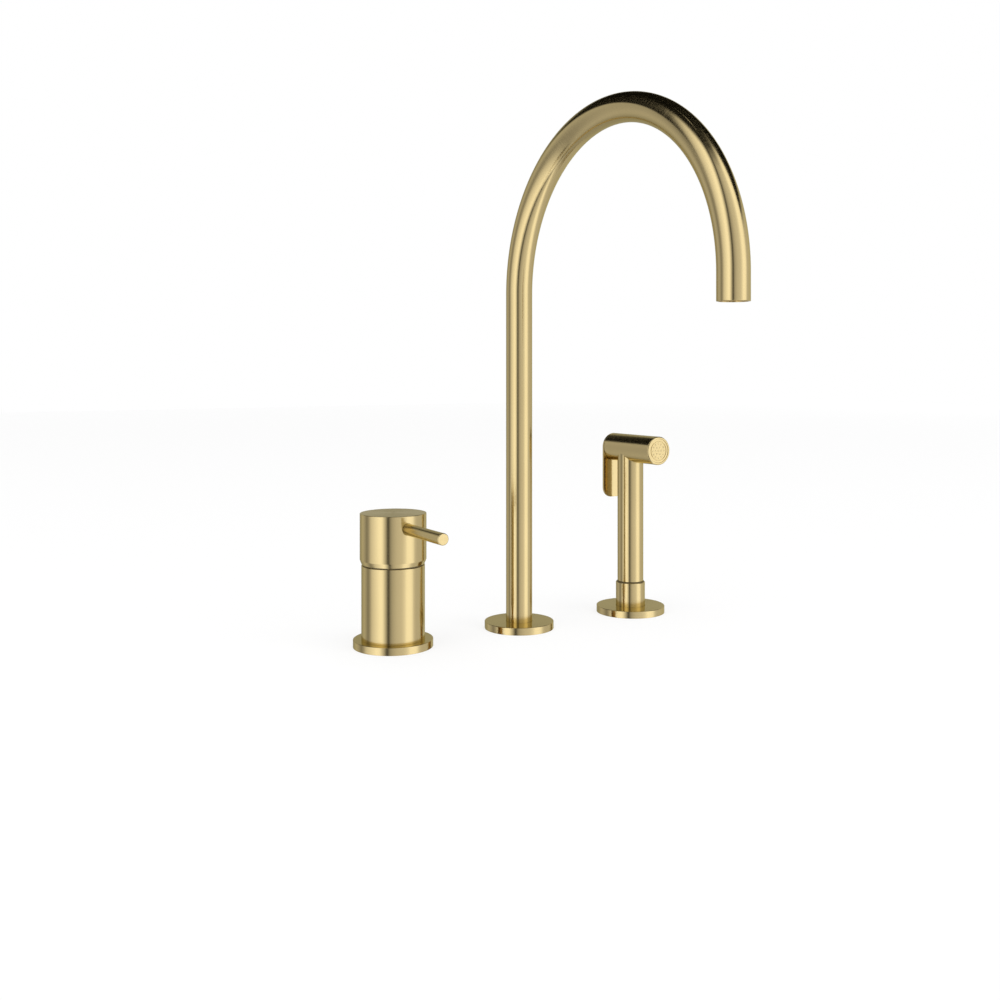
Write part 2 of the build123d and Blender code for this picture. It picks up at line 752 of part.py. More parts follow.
with BuildPart() as spray_flange:
    with BuildSketch(side_view(spray_x)):
        Polygon(
            *flange_section(
                spray_flange_radius,
                spray_thread_radius + thread_fit,
                holder_radius + thread_fit,
                holder_foot,
            )
        )
    revolve(axis=upright(spray_x))
spray_flange.part.label = "spray_flange"
export_step(spray_flange.part, "parts/spray_flange.step")

# collar and shank in one turned piece: mouth for the handle, bore for liner and hose
with BuildPart() as spray_holder:
    with BuildSketch(side_view(spray_x)):
        Polygon(
            (shank_bore, thread_end),
            (spray_thread_radius - thread_chamfer, thread_end),
            (spray_thread_radius, thread_end + thread_chamfer),
            (spray_thread_radius, holder_foot),
            (holder_radius, holder_foot),
            (holder_radius, holder_top - holder_chamfer),
            (holder_radius - holder_chamfer, holder_top),
            (mouth_radius, holder_top),
            (mouth_radius, mouth_floor),
            (liner_bore, mouth_floor),
            (liner_bore, liner_foot),
            (shank_bore, liner_foot),
        )
    revolve(axis=upright(spray_x))
spray_holder.part.label = "spray_holder"
export_step(spray_holder.part, "parts/spray_holder.step")

# plastic guide: rim on the mouth's floor, conical seat for the handset's foot
with BuildPart() as holder_liner:
    with BuildSketch(side_view(spray_x)):
        Polygon(
            (cone_foot_radius, liner_foot),
            (liner_bore - thread_fit, liner_foot),
            (liner_bore - thread_fit, mouth_floor),
            (mouth_radius - seat_gap, mouth_floor),
            (mouth_radius - seat_gap, liner_rim_top),
            (cone_top_radius, liner_rim_top),
            (cone_foot_radius, cone_foot),
        )
    revolve(axis=upright(spray_x))
holder_liner.part.label = "holder_liner"
export_step(holder_liner.part, "parts/holder_liner.step")

# ================================================================== side spray: swivelling hose inlet
handle_end = liner_rim_top + handle_lift
handle_bore = handle_radius - handle_wall
inlet_end = cone_foot - inlet_thread_length
foot_floor_top = handle_end + handle_foot_height
swivel_clip_foot = foot_floor_top + end_play
swivel_top = swivel_clip_foot + swivel_clip_height + swivel_neck_end
swivel_seal_height = (handle_end + foot_floor_top) / 2
swivel_seal_middle = swivel_neck_radius + running_fit - sealing_film - o_ring_radius

with BuildPart() as inlet_swivel:
    with BuildSketch(side_view(spray_x)):
        Polygon(
            (inlet_bore, inlet_end),
            (inlet_thread_radius, inlet_end),
            (inlet_thread_radius, cone_foot),
            (cone_foot_radius - seat_gap, cone_foot),
            (cone_top_radius - seat_gap, liner_rim_top),
            (swivel_neck_radius, liner_rim_top),
            (swivel_neck_radius, swivel_clip_foot),
            (swivel_groove_radius, swivel_clip_foot),
            (swivel_groove_radius, swivel_clip_foot + swivel_clip_height),
            (swivel_neck_radius, swivel_clip_foot + swivel_clip_height),
            (swivel_neck_radius, swivel_top),
            (swivel_neck_bore, swivel_top),
            (swivel_neck_bore, cone_foot),
            (inlet_bore, cone_foot),
        )
        with Locations((swivel_seal_middle, swivel_seal_height)):
            Rectangle(2 * o_ring_radius, 2 * (o_ring_radius + seat_gap), mode=Mode.SUBTRACT)
    revolve(axis=upright(spray_x))
inlet_swivel.part.label = "inlet_swivel"
export_step(inlet_swivel.part, "parts/inlet_swivel.step")

# open snap ring that keeps the swivel in the handle's foot
with BuildPart(Plane((spray_x, 0, swivel_clip_foot))) as swivel_snap_ring:
    Cylinder(swivel_clip_radius, swivel_clip_height, align=FOOT)
    Cylinder(swivel_groove_radius + running_fit, swivel_clip_height, align=FOOT, mode=Mode.SUBTRACT)
    with Locations((0, swivel_clip_radius, 0)):
        Box(
            swivel_clip_gap,
            2 * swivel_clip_radius,
            swivel_clip_height,
            align=FOOT,
            mode=Mode.SUBTRACT,
        )
swivel_snap_ring.part.label = "swivel_snap_ring"
export_step(swivel_snap_ring.part, "parts/swivel_snap_ring.step")

with BuildPart() as swivel_o_ring:
    with BuildSketch(side_view(spray_x)):
        with Locations((swivel_seal_middle, swivel_seal_height)):
            Circle(o_ring_radius)
    revolve(axis=upright(spray_x))
swivel_o_ring.part.label = "swivel_o_ring"
export_step(swivel_o_ring.part, "parts/swivel_o_ring.step")

# ================================================================== side spray: handset
waterway_foot = swivel_top + end_play
head_bore = head_radius - head_wall
head_view = Plane(origin=(spray_x, 0, head_height), x_dir=(0, 1, 0), z_dir=(1, 0, 0))
head_axis = Axis((spray_x, 0, head_height), (0, 1, 0))
front_view = facing_user(spray_x, 0, head_height)
spray_profile = Plane(origin=(spray_x, 0, 0), x_dir=(0, 1, 0), z_dir=(1, 0, 0))
relief = head_radius * sin(radians(trigger_swing + swing_relief))
valve_radius = head_bore - thread_fit
face_front = -head_front + face_recess
cup_back = face_front + face_cup_depth
valve_front = cup_back + face_seal_height
valve_seat = valve_front + valve_seat_wall
fork_y = head_back - fork_front
valve_back = fork_y - valve_tail_gap
valve_chamber_back = valve_back - valve_guide_length
pin_y = head_back - pivot_inset
pin_height = head_height - pivot_drop

# brass plug in the handle's foot: bearing for the swivel below, socket for the waterway above
with BuildPart() as handle_foot:
    with BuildSketch(side_view(spray_x)):
        Polygon(
            (swivel_neck_radius + running_fit, handle_end),
            (handle_bore, handle_end),
            (handle_bore, foot_floor_top + foot_socket_height),
            (waterway_outer + thread_fit, foot_floor_top + foot_socket_height),
            (waterway_outer + thread_fit, waterway_foot),
            (swivel_clip_radius + seat_gap, waterway_foot),
            (swivel_clip_radius + seat_gap, foot_floor_top),
            (swivel_neck_radius + running_fit, foot_floor_top),
        )
    revolve(axis=upright(spray_x))
handle_foot.part.label = "handle_foot"
export_step(handle_foot.part, "parts/handle_foot.step")

# handle tube, mitred to the underside of the head
with BuildPart(Plane((spray_x, 0, handle_end))) as spray_handle:
    Cylinder(handle_radius, head_height - handle_end, align=FOOT)
    Cylinder(handle_bore, head_height - handle_end, align=FOOT, mode=Mode.SUBTRACT)
    with BuildSketch(front_view):
        Circle(head_radius)
    extrude(amount=head_radius, both=True, mode=Mode.SUBTRACT)
spray_handle.part.label = "spray_handle"
export_step(spray_handle.part, "parts/spray_handle.step")

# inner plastic tube that carries the water up to the valve
with BuildPart(Plane((spray_x, 0, waterway_foot))) as waterway_tube:
    Cylinder(waterway_outer, head_height - waterway_foot, align=FOOT)
    Cylinder(waterway_inner, head_height - waterway_foot, align=FOOT, mode=Mode.SUBTRACT)
    with BuildSketch(front_view):
        Circle(valve_radius)
    extrude(amount=head_radius, both=True, mode=Mode.SUBTRACT)
waterway_tube.part.label = "waterway_tube"
export_step(waterway_tube.part, "parts/waterway_tube.step")

with BuildPart(Plane((spray_x, 0, waterway_foot + check_valve_start))) as check_valve:
    Cylinder(waterway_inner - thread_fit, check_valve_length, align=FOOT)
    Cylinder(check_valve_bore, check_valve_length, align=FOOT, mode=Mode.SUBTRACT)
check_valve.part.label = "check_valve"
export_step(check_valve.part, "parts/check_valve.step")

# head barrel: bevelled front rim, water hole below, pin hole, rear end cut back under the pin
with BuildPart() as spray_head:
    with BuildSketch(head_view):
        Polygon(
            (-head_front, head_bore),
            (-head_front, head_radius - head_bevel),
            (-head_front + head_bevel, head_radius),
            (head_back, head_radius),
            (head_back, head_bore),
        )
    revolve(axis=head_axis)
    with BuildSketch(Plane((spray_x, 0, head_height))):
        Circle(waterway_outer + thread_fit)
    extrude(amount=-head_radius, mode=Mode.SUBTRACT)
    with BuildSketch(Plane((spray_x - pin_half_length, pin_y, pin_height), z_dir=(1, 0, 0))):
        Circle(pin_radius)
    extrude(amount=pin_half_length + head_radius, mode=Mode.SUBTRACT)
    with BuildSketch(spray_profile):
        Polygon(
            (head_back, pin_height),
            (head_back + relief, pin_height),
            (head_back + relief, pin_height - head_radius),
            (head_back - relief, pin_height - head_radius),
        )
    extrude(amount=head_radius, both=True, mode=Mode.SUBTRACT)
spray_head.part.label = "spray_head"
export_step(spray_head.part, "parts/spray_head.step")

# valve body: chamber fed from below, seat towards the face, guide for the stem at the rear
stem_seal_y = (valve_back + valve_chamber_back) / 2
stem_seal_middle = stem_pin_radius + sealing_film + stem_seal_radius
with BuildPart() as valve_body:
    with BuildSketch(head_view):
        Polygon(
            (valve_front, valve_seat_radius),
            (valve_front, valve_radius),
            (valve_back, valve_radius),
            (valve_back, stem_pin_radius + running_fit),
            (valve_chamber_back, stem_pin_radius + running_fit),
            (valve_chamber_back, valve_chamber_radius),
            (valve_seat, valve_chamber_radius),
            (valve_seat, valve_seat_radius),
        )
        with Locations((stem_seal_y, stem_seal_middle)):
            Rectangle(2 * (stem_seal_radius + seat_gap), 2 * stem_seal_radius, mode=Mode.SUBTRACT)
    revolve(axis=head_axis)
    with BuildSketch(Plane((spray_x, 0, head_height))):
        Circle(waterway_inner)
    extrude(amount=-head_radius, mode=Mode.SUBTRACT)
valve_body.part.label = "valve_body"
export_step(valve_body.part, "parts/valve_body.step")

with BuildPart() as stem_seal:
    with BuildSketch(head_view):
        with Locations((stem_seal_y, stem_seal_middle)):
            Circle(stem_seal_radius)
    revolve(axis=head_axis)
stem_seal.part.label = "stem_seal"
export_step(stem_seal.part, "parts/stem_seal.step")

# ------------------------------------------------------------------ spray face
cup_bore = valve_radius - face_cup_wall
cup_floor = face_front + face_wall

# cup screwed into the barrel's front, with a turned groove and the nozzle holes
with BuildPart() as spray_face:
    with BuildSketch(head_view):
        Polygon(
            (face_front, 0),
            (face_front, valve_radius),
            (cup_back, valve_radius),
            (cup_back, cup_bore),
            (cup_floor, cup_bore),
            (cup_floor, 0),
        )
        with Locations((face_front, face_groove_radius)):
            Rectangle(2 * face_groove_depth, face_groove_width, mode=Mode.SUBTRACT)
    revolve(axis=head_axis)
    with BuildSketch(front_view):
        for ring_radius, count in nozzle_rings:
            with PolarLocations(ring_radius, count):
                Circle(nozzle_radius + running_fit)
    extrude(amount=head_front, mode=Mode.SUBTRACT)
spray_face.part.label = "spray_face"
export_step(spray_face.part, "parts/spray_face.step")

# silicone mat behind the face, with one nozzle through each hole
with BuildPart() as spray_nozzles:
    with BuildSketch(head_view):
        Polygon(
            (cup_floor, 0),
            (cup_floor, cup_bore - running_fit),
            (cup_floor + nozzle_mat_height, cup_bore - running_fit),
            (cup_floor + nozzle_mat_height, 0),
        )
    revolve(axis=head_axis)
    nozzle_root = front_view.offset(-cup_floor)
    with BuildSketch(nozzle_root):
        for ring_radius, count in nozzle_rings:
            with PolarLocations(ring_radius, count):
                Circle(nozzle_radius)
    extrude(amount=face_wall + nozzle_height)
    with BuildSketch(nozzle_root.offset(-nozzle_mat_height)):
        for ring_radius, count in nozzle_rings:
            with PolarLocations(ring_radius, count):
                RegularPolygon(nozzle_bore, 6)
    extrude(amount=nozzle_mat_height + face_wall + nozzle_height, mode=Mode.SUBTRACT)
spray_nozzles.part.label = "spray_nozzles"
export_step(spray_nozzles.part, "parts/spray_nozzles.step")

with BuildPart() as face_seal:
    with BuildSketch(head_view):
        Polygon(
            (valve_front, cup_bore),
            (valve_front, valve_radius),
            (cup_back, valve_radius),
            (cup_back, cup_bore),
        )
    revolve(axis=head_axis)
face_seal.part.label = "face_seal"
export_step(face_seal.part, "parts/face_seal.step")

# ================================================================== side spray: trigger and valve stem
with BuildPart(Plane((spray_x - pin_half_length, pin_y, pin_height), z_dir=(1, 0, 0))) as trigger_pin:
    Cylinder(pin_radius, 2 * pin_half_length, align=FOOT)
trigger_pin.part.label = "trigger_pin"
export_step(trigger_pin.part, "parts/trigger_pin.step")

plate_front = head_back + trigger_gap
plate_back = plate_front + trigger_thickness

# keyhole plate with a hub on the pin and a fork that draws the valve stem back
with BuildPart() as trigger_lever:
    with BuildSketch(facing_user(spray_x, plate_back, 0)) as keyhole:
        with Locations((0, head_height)):
            Circle(head_radius)
        with Locations((0, trigger_foot)):
            Rectangle(2 * head_radius, head_height - trigger_foot, align=UPWARDS)
        fillet(keyhole.vertices().group_by(Axis.Y)[0], trigger_corner)
    extrude(amount=trigger_thickness)
    chamfer(trigger_lever.faces().sort_by(Axis.Y)[-1].outer_wire().edges(), trigger_bevel)
    with BuildSketch(spray_profile):
        with Locations((pin_y, pin_height)):
            Circle(hub_radius)
        Polygon(
            (pin_y, pin_height - neck_drop),
            (plate_front, pin_height - neck_drop),
            (plate_front, pin_height + hub_radius),
            (pin_y, pin_height + hub_radius),
        )
        Polygon(
            (fork_y, pin_height - neck_drop),
            (pin_y, pin_height - neck_drop),
            (pin_y, pin_height + hub_radius),
            (fork_y + fork_thickness, pin_height + fork_base_height),
            (fork_y, pin_height + fork_base_height),
        )
    extrude(amount=hub_half_width, both=True)
    with BuildSketch(facing_user(spray_x, fork_y + fork_thickness, 0)):
        with Locations((0, pin_height)):
            Rectangle(
                2 * fork_half_width,
                pivot_drop + fork_rise,
                align=UPWARDS,
            )
        with Locations((0, pin_height + fork_base_height)):
            Rectangle(
                2 * (stem_pin_radius + fork_play),
                pivot_drop + fork_rise,
                align=UPWARDS,
                mode=Mode.SUBTRACT,
            )
    extrude(amount=fork_thickness)
    with BuildSketch(spray_profile):
        with Locations((pin_y, pin_height)):
            Circle(pin_radius + running_fit)
    extrude(amount=hub_half_width, both=True, mode=Mode.SUBTRACT)
trigger_lever.part.label = "trigger_lever"
export_step(trigger_lever.part, "parts/trigger_lever.step")

collar_front = fork_y + fork_thickness + fork_play
poppet_front = valve_seat + sealing_film + poppet_seal_height
poppet_back = poppet_front + poppet_height

# stem: collar behind the fork, shaft through the guide, poppet in the chamber
with BuildPart() as valve_plunger:
    with BuildSketch(head_view):
        Polygon(
            (poppet_front, 0),
            (poppet_front, poppet_radius),
            (poppet_back, poppet_radius),
            (poppet_back, stem_pin_radius),
            (collar_front, stem_pin_radius),
            (collar_front, stem_collar_radius),
            (collar_front + stem_collar_height, stem_collar_radius),
            (collar_front + stem_collar_height, 0),
        )
    revolve(axis=head_axis)
valve_plunger.part.label = "valve_plunger"
export_step(valve_plunger.part, "parts/valve_plunger.step")

with BuildPart() as plunger_seal:
    with BuildSketch(head_view):
        Polygon(
            (poppet_front - poppet_seal_height, 0),
            (poppet_front - poppet_seal_height, poppet_seal_radius),
            (poppet_front, poppet_seal_radius),
            (poppet_front, 0),
        )
    revolve(axis=head_axis)
plunger_seal.part.label = "plunger_seal"
export_step(plunger_seal.part, "parts/plunger_seal.step")

# compression spring round the stem, between the guide wall and the poppet
spring_start = poppet_back + spring_wire_radius + sealing_film
spring_length = valve_chamber_back - spring_wire_radius - sealing_film - spring_start
with BuildPart() as valve_spring:
    with BuildLine() as coil:
        Helix(
            spring_length / spring_turns,
            spring_length,
            spring_coil_radius,
            center=(spray_x, spring_start, head_height),
            direction=(0, 1, 0),
        )
    with BuildSketch(Plane(origin=coil.line @ 0, z_dir=coil.line % 0)):
        RegularPolygon(spring_wire_radius, 6)
    sweep(path=coil.line, is_frenet=True)
valve_spring.part.label = "valve_spring"
export_step(valve_spring.part, "parts/valve_spring.step")
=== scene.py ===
"""Looks of a three-hole kitchen tap in brushed brass: lever mixer, arch spout and side spray.

The scene is in metres, in the CAD model's frame: the origin is the middle of the spout's foot on the
worktop, +Z is up, +X runs from the mixer to the spray and -Y points at the user. Sizes are written
in millimetres, as on a drawing, and become metres where a mesh is made.
"""

import json
from math import cos, pi, radians, sin, sqrt, tan

import bpy
import numpy as np
from mathutils import Matrix, Vector


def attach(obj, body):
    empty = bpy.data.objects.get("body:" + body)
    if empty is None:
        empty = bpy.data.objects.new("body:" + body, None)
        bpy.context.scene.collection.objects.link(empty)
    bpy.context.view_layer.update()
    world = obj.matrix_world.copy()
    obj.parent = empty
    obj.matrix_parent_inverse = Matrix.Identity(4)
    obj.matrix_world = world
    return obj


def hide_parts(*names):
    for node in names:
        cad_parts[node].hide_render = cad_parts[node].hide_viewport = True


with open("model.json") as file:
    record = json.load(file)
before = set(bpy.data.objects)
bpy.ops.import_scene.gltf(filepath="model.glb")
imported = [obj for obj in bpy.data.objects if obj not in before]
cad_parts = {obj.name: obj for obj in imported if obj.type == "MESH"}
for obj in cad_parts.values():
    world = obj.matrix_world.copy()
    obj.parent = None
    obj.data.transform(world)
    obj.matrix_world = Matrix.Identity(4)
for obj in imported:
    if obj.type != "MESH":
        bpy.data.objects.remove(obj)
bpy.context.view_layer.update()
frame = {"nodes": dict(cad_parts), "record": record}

MM = 0.001
UP = (0, 0, 1)
BACKWARDS = (0, 1, 0)
TO_USER = (0, -1, 0)
ACROSS = (1, 0, 0)
FROM_ABOVE = (ACROSS, BACKWARDS, UP)  # right, up and out of an outline drawn in plan
FROM_SIDE = (BACKWARDS, UP, ACROSS)  # and of one drawn in side view

# ------------------------------------------------------------------ sizes, as in the part's source
FIT = 0.05  # play of a shaft in its bore
EDGE = 0.12  # rounding of an edge that the drawing shows sharp
BEVEL = 0.45  # rounding of an outer edge that the hand touches
JOINT = 0.35  # rounding of a foot ring's bore, which makes the fine dark line round a foot
HOLD = 0.3  # from a rounding to the point that holds it
SHARP = 35  # degrees between faces from which an edge is drawn sharp
OVERCUT = 1.0  # how far a tool reaches past what it cuts

MIXER_X = -117.0
SPRAY_X = 118.0
MIXER_THREAD = 16.5
SPOUT_THREAD = 14.0
SPRAY_THREAD = 12.0
MIXER_FLANGE = 31.45
SPOUT_FLANGE = 29.05
SPRAY_FLANGE = 30.3
FLANGE_HEIGHT = 6.0
GASKET_HEIGHT = 1.5
GASKET_WIDTH = 6.0
GASKET_INSET = 3.0
DECK_UNDERSIDE = -30.0
RUBBER_WASHER = 3.0
STEEL_WASHER = 2.0
WASHER_WIDTH = 9.0
WASHER_PLAY = 0.3
SOFT_EDGE = 0.6  # rounding of a rubber washer
BURR = 0.15  # rounding of a stamped washer on the punch's side
ROLLED = 0.35  # and on the die's side
LOCK_NUT = 8.0
LOCK_NUT_WALL = 5.0
NUT_FACE = 0.96  # turned face of a nut, as a share of its flats
THREAD_END = -55.0
THREAD_TOP = -1.0
THREAD_CHAMFER = 0.8
THREAD_PITCH = 1.5
THREAD_DEPTH = 0.8

BODY_RADIUS = 24.95
BODY_FOOT = 3.0
BODY_SPIGOT = 20.0
BODY_TOP = 64.0
SOCKET_TOP = 14.0
CHAMBER_FLOOR = 26.0
CHAMBER_SHOULDER = 50.0
CHAMBER_RADIUS = 17.45
NUT_BORE = 19.5
MIXER_BORE = 14.0
HOSE_RING = 7.5
HOSE_THREAD = 4.5
HOSE_THREAD_LENGTH = 9.0
COUNTERSINK = 0.4
PORT_RADIUS = 2.6
FIRST_HOSE = 90.0  # degrees; the outlet is at the back

CAP_RADIUS = 26.15
CAP_FOOT = 65.0
CAP_TOP = 104.7
CAP_CHAMFER_HEIGHT = 3.5
CAP_CHAMFER_WIDTH = 1.4
CAP_BORE = 22.9
CROWN_FOOT = 86.0
HUB_RADIUS = 9.0
HUB_FOOT = 74.0
STEM_SQUARE = 8.1
STEM_SQUARE_TOP = 98.5
LEVER_RADIUS = 4.5
LEVER_HEIGHT = 94.7
LEVER_ROOT = 24.95
LEVER_REACH = 83.5
LEVER_BEVEL = 0.5
LEVER_GAP = 0.2  # dark ring round the lever's root
STUD_RADIUS = 2.45
STUD_LENGTH = 10.0

SPOUT_RADIUS = 11.0
SPOUT_BORE = 9.5
SPOUT_STEP = 3.8  # web of the spout's flange
TUBE_FOOT = 3.85
SPRING_LINE = 280.5
BEND_RADIUS = 129.5
OUTLET_HEIGHT = 261.5
SHANK_HEAD = 2.8
SPIGOT_RADIUS = 7.95
SPIGOT_FLOOR = -21.45
CLIP_HEIGHT = -16.65
CLIP_GROOVE = 0.85
HOSE_END_RADIUS = 7.5
HOSE_END_TOP = -41.0
HOSE_END_PITCH = 1.3
WATERWAY = 6.0
INSERT_FOOT = 262.3
INSERT_TOP = 276.3
INSERT_RADIUS = 8.25
INSERT_SHOULDER = 2.0
AERATOR_FOOT = 262.5
AERATOR_TOP = 272.0
AERATOR_RADIUS = 8.2
AERATOR_BORE = 6.6
NOTCH_WIDTH = 1.8
NOTCH_DEPTH = 1.2

COLLAR_RADIUS = 12.95
COLLAR_FOOT = 5.0
COLLAR_TOP = 27.0
COLLAR_LIP = 0.5
MOUTH_RADIUS = 12.025
MOUTH_FLOOR = 24.0
LINER_BORE = 10.9
LINER_FOOT = 4.0
LINER_TOP = 27.7
SPRAY_BORE = 10.25
CONE_FOOT = 8.0
CONE_FOOT_RADIUS = 9.3
CONE_TOP_RADIUS = 10.3
SEAT_GAP = 0.1
INLET_END = -4.0
INLET_TOP = CONE_FOOT - 0.5
INLET_THREAD = 7.5
INLET_PITCH = 1.0
INLET_DEPTH = 0.5
INLET_BORE = 5.0
NECK_RADIUS = 6.0
NECK_BORE = 3.2
NECK_TOP = 43.3
NECK_GROOVE = 4.8
NECK_GROOVE_FOOT = 40.3
NECK_GROOVE_TOP = 41.3
SEAL_GROOVE = 4.23
SEAL_GROOVE_FOOT = 33.0
SEAL_GROOVE_TOP = 35.0

HANDLE_RADIUS = 11.525
HANDLE_BORE = 10.325
HANDLE_END = 28.0
HEAD_RADIUS = 12.35
HEAD_BORE = 10.5
HEAD_HEIGHT = 146.5
HEAD_FRONT = -40.0
HEAD_BACK = 22.9
HEAD_BEVEL = 0.7
HEAD_MIDDLE = (SPRAY_X, 0, HEAD_HEIGHT)
SADDLE_HALF = 30.0  # half length of the tool that mitres the handle to the head
WEDGE_HALF = 15.0  # half width of the tool that cuts the head free for the swing
FACE_FRONT = -39.6
FACE_RADIUS = 10.45
FACE_CUP_END = -24.0
FACE_WALL = 2.0
NOZZLE_ROOT = -FACE_WALL - 0.1  # just inside the mat
CUP_BORE = 8.55
GROOVE_RADIUS = 8.3
GROOVE_WIDTH = 0.5
GROOVE_DEPTH = 0.4
NOZZLE_RADIUS = 0.8
NOZZLE_BORE = 0.4
NOZZLE_HEIGHT = 0.3
NOZZLE_PITCH = 3.1
NOZZLE_CONE = 0.35  # depth of the cone that each jet leaves through
MAT_HEIGHT = 1.2
WATERWAY_HOLE = 8.05

PIN_Y = 20.8
PIN_Z = 138.5
PIN_RADIUS = 1.0
PIN_HALF = 8.2
PIN_MIDDLE = (SPRAY_X, PIN_Y, PIN_Z)
SWING = 8.0  # degrees that the head's end is cut back under the pin
PLATE_FRONT = 23.3
PLATE_BACK = 25.3
PLATE_FOOT = 100.8
PLATE_CORNER = 8.75
HUB_PIN_RADIUS = 1.8
HUB_HALF = 2.6
NECK_DROP = 1.0
FORK_FRONT = 18.0
FORK_BACK = 19.8
FORK_HALF = 4.8
FORK_TOP = 150.2
FORK_SLOT = 2.3
FORK_BASE = 141.9


# ------------------------------------------------------------------ nodes, colours and meshes
def add(tree, kind, sockets=None, **settings):
    """Adds one node: its settings, and by socket its constants, links or the nodes that feed it."""
    made = tree.nodes.new(kind)
    for name, value in settings.items():
        setattr(made, name, value)
    for key, value in (sockets or {}).items():
        if isinstance(value, bpy.types.Node):
            tree.links.new(value.outputs[0], made.inputs[key])
        elif isinstance(value, bpy.types.NodeSocket):
            tree.links.new(value, made.inputs[key])
        else:
            made.inputs[key].default_value = value
    return made


def maths(tree, operation, first, second=0.0):
    """Adds one sum of two numbers, or of one."""
    return add(tree, "ShaderNodeMath", {0: first, 1: second}, operation=operation)


def colour(code):
    """Linear colour of an sRGB hex value."""
    channels = [int(code[i : i + 2], 16) / 255 for i in (1, 3, 5)]
    return [c / 12.92 if c <= 0.04045 else ((c + 0.055) / 1.055) ** 2.4 for c in channels] + [1.0]


def soften(corners, closed, steps=4):
    """Rounds a section's corners and holds each rounding with a point on either side of it."""
    points = []
    last = len(corners) - 1
    for i, (radius, height, rounding) in enumerate(corners):
        corner = Vector((radius, height))
        if not rounding or (not closed and i in (0, last)):
            points.append(corner)
            continue
        before = Vector(corners[i - 1][:2]) - corner
        after = Vector(corners[(i + 1) % (last + 1)][:2]) - corner
        half = before.angle(after) / 2
        reach = rounding / tan(half)
        to_start, to_end = before.normalized(), after.normalized()
        centre = corner + (to_start + to_end).normalized() * rounding / sin(half)
        start = corner + to_start * reach - centre
        turn = start.angle_signed(corner + to_end * reach - centre)
        points.append(corner + to_start * (reach + min(HOLD, HOLD * (before.length - reach))))
        for k in range(steps + 1):
            points.append(centre + Matrix.Rotation(-turn * k / steps, 2) @ start)
        points.append(corner + to_end * (reach + min(HOLD, HOLD * (after.length - reach))))
    return points


def divide(points, step):
    """Adds points so that no run of a closed section is longer than the step."""
    divided = []
    for start, end in zip(points, points[1:] + points[:1]):
        count = max(1, round((end - start).length / step))
        divided += [start.lerp(end, k / count) for k in range(count)]
    return divided


def rungs(radius, start, end, pitch):
    """Points up a straight run of a section, eight for each turn of the thread formed on it."""
    count = round(abs(end - start) / pitch * 8)
    return [(radius, start + (end - start) * k / count, 0) for k in range(count + 1)]


def make_mesh(name, points, faces, uvs):
    """Mesh object with smooth faces that point outwards; uvs has one pair for each face corner."""
    volume = 0.0
    for face in faces:
        for k in range(1, len(face) - 1):
            a, b, c = (points[face[j]] for j in (0, k, k + 1))
            volume += a.dot(b.cross(c))
    if volume < 0:
        faces = [face[::-1] for face in faces]
        uvs = [corner_uvs[::-1] for corner_uvs in uvs]
    mesh = bpy.data.meshes.new(name)
    mesh.from_pydata([point * MM for point in points], [], faces)
    layer = mesh.uv_layers.new(name="brush")
    layer.data.foreach_set("uv", np.array([n for uv in uvs for pair in uv for n in pair], np.float32))
    mesh.shade_smooth()
    mesh.set_sharp_from_angle(angle=radians(SHARP))
    made = bpy.data.objects.new(name, mesh)
    bpy.context.scene.collection.objects.link(made)
    return made


def lathe(name, corners, at=(0, 0, 0), axis=UP, closed=True, segments=160, step=0.0):
    """Turned piece. Its UV map runs along the section in metres and round the axis in turns."""
    section = soften(corners, closed)
    if step:
        section = divide(section, step)
    axis = Vector(axis)
    across = Vector(UP) if abs(axis.z) < 0.5 else Vector(BACKWARDS)
    aside = axis.cross(across)
    at = Vector(at)
    points, rings = [], []
    for radius, height in section:
        count = segments if radius > 1e-6 else 1
        rings.append((len(points), count))
        for j in range(count):
            angle = 2 * pi * j / segments
            points.append(at + axis * height + (across * cos(angle) + aside * sin(angle)) * radius)
    faces, uvs = [], []
    run = 0.0
    pairs = list(zip(range(len(section)), range(1, len(section))))
    if closed:
        pairs.append((len(section) - 1, 0))
    for low, high in pairs:
        far = run + (section[high] - section[low]).length * MM
        (first, count), (second, other) = rings[low], rings[high]
        for j in range(segments):
            k = (j + 1) % segments
            near_turn, far_turn = j / segments, (j + 1) / segments
            if count == 1 and other == 1:
                break
            if count == 1:
                faces.append((first, second + j, second + k))
                uvs.append([(run, (near_turn + far_turn) / 2), (far, near_turn), (far, far_turn)])
            elif other == 1:
                faces.append((first + j, second, first + k))
                uvs.append([(run, near_turn), (far, (near_turn + far_turn) / 2), (run, far_turn)])
            else:
                faces.append((first + j, second + j, second + k, first + k))
                uvs.append([(run, near_turn), (far, near_turn), (far, far_turn), (run, far_turn)])
        run = far
    return make_mesh(name, points, faces, uvs)


def drill(name, radius, start, end, at=(0, 0, 0), axis=UP, segments=48):
    """Plain round tool."""
    section = [(0, start, 0), (radius, start, 0), (radius, end, 0), (0, end, 0)]
    return lathe(name, section, at, axis, closed=False, segments=segments)


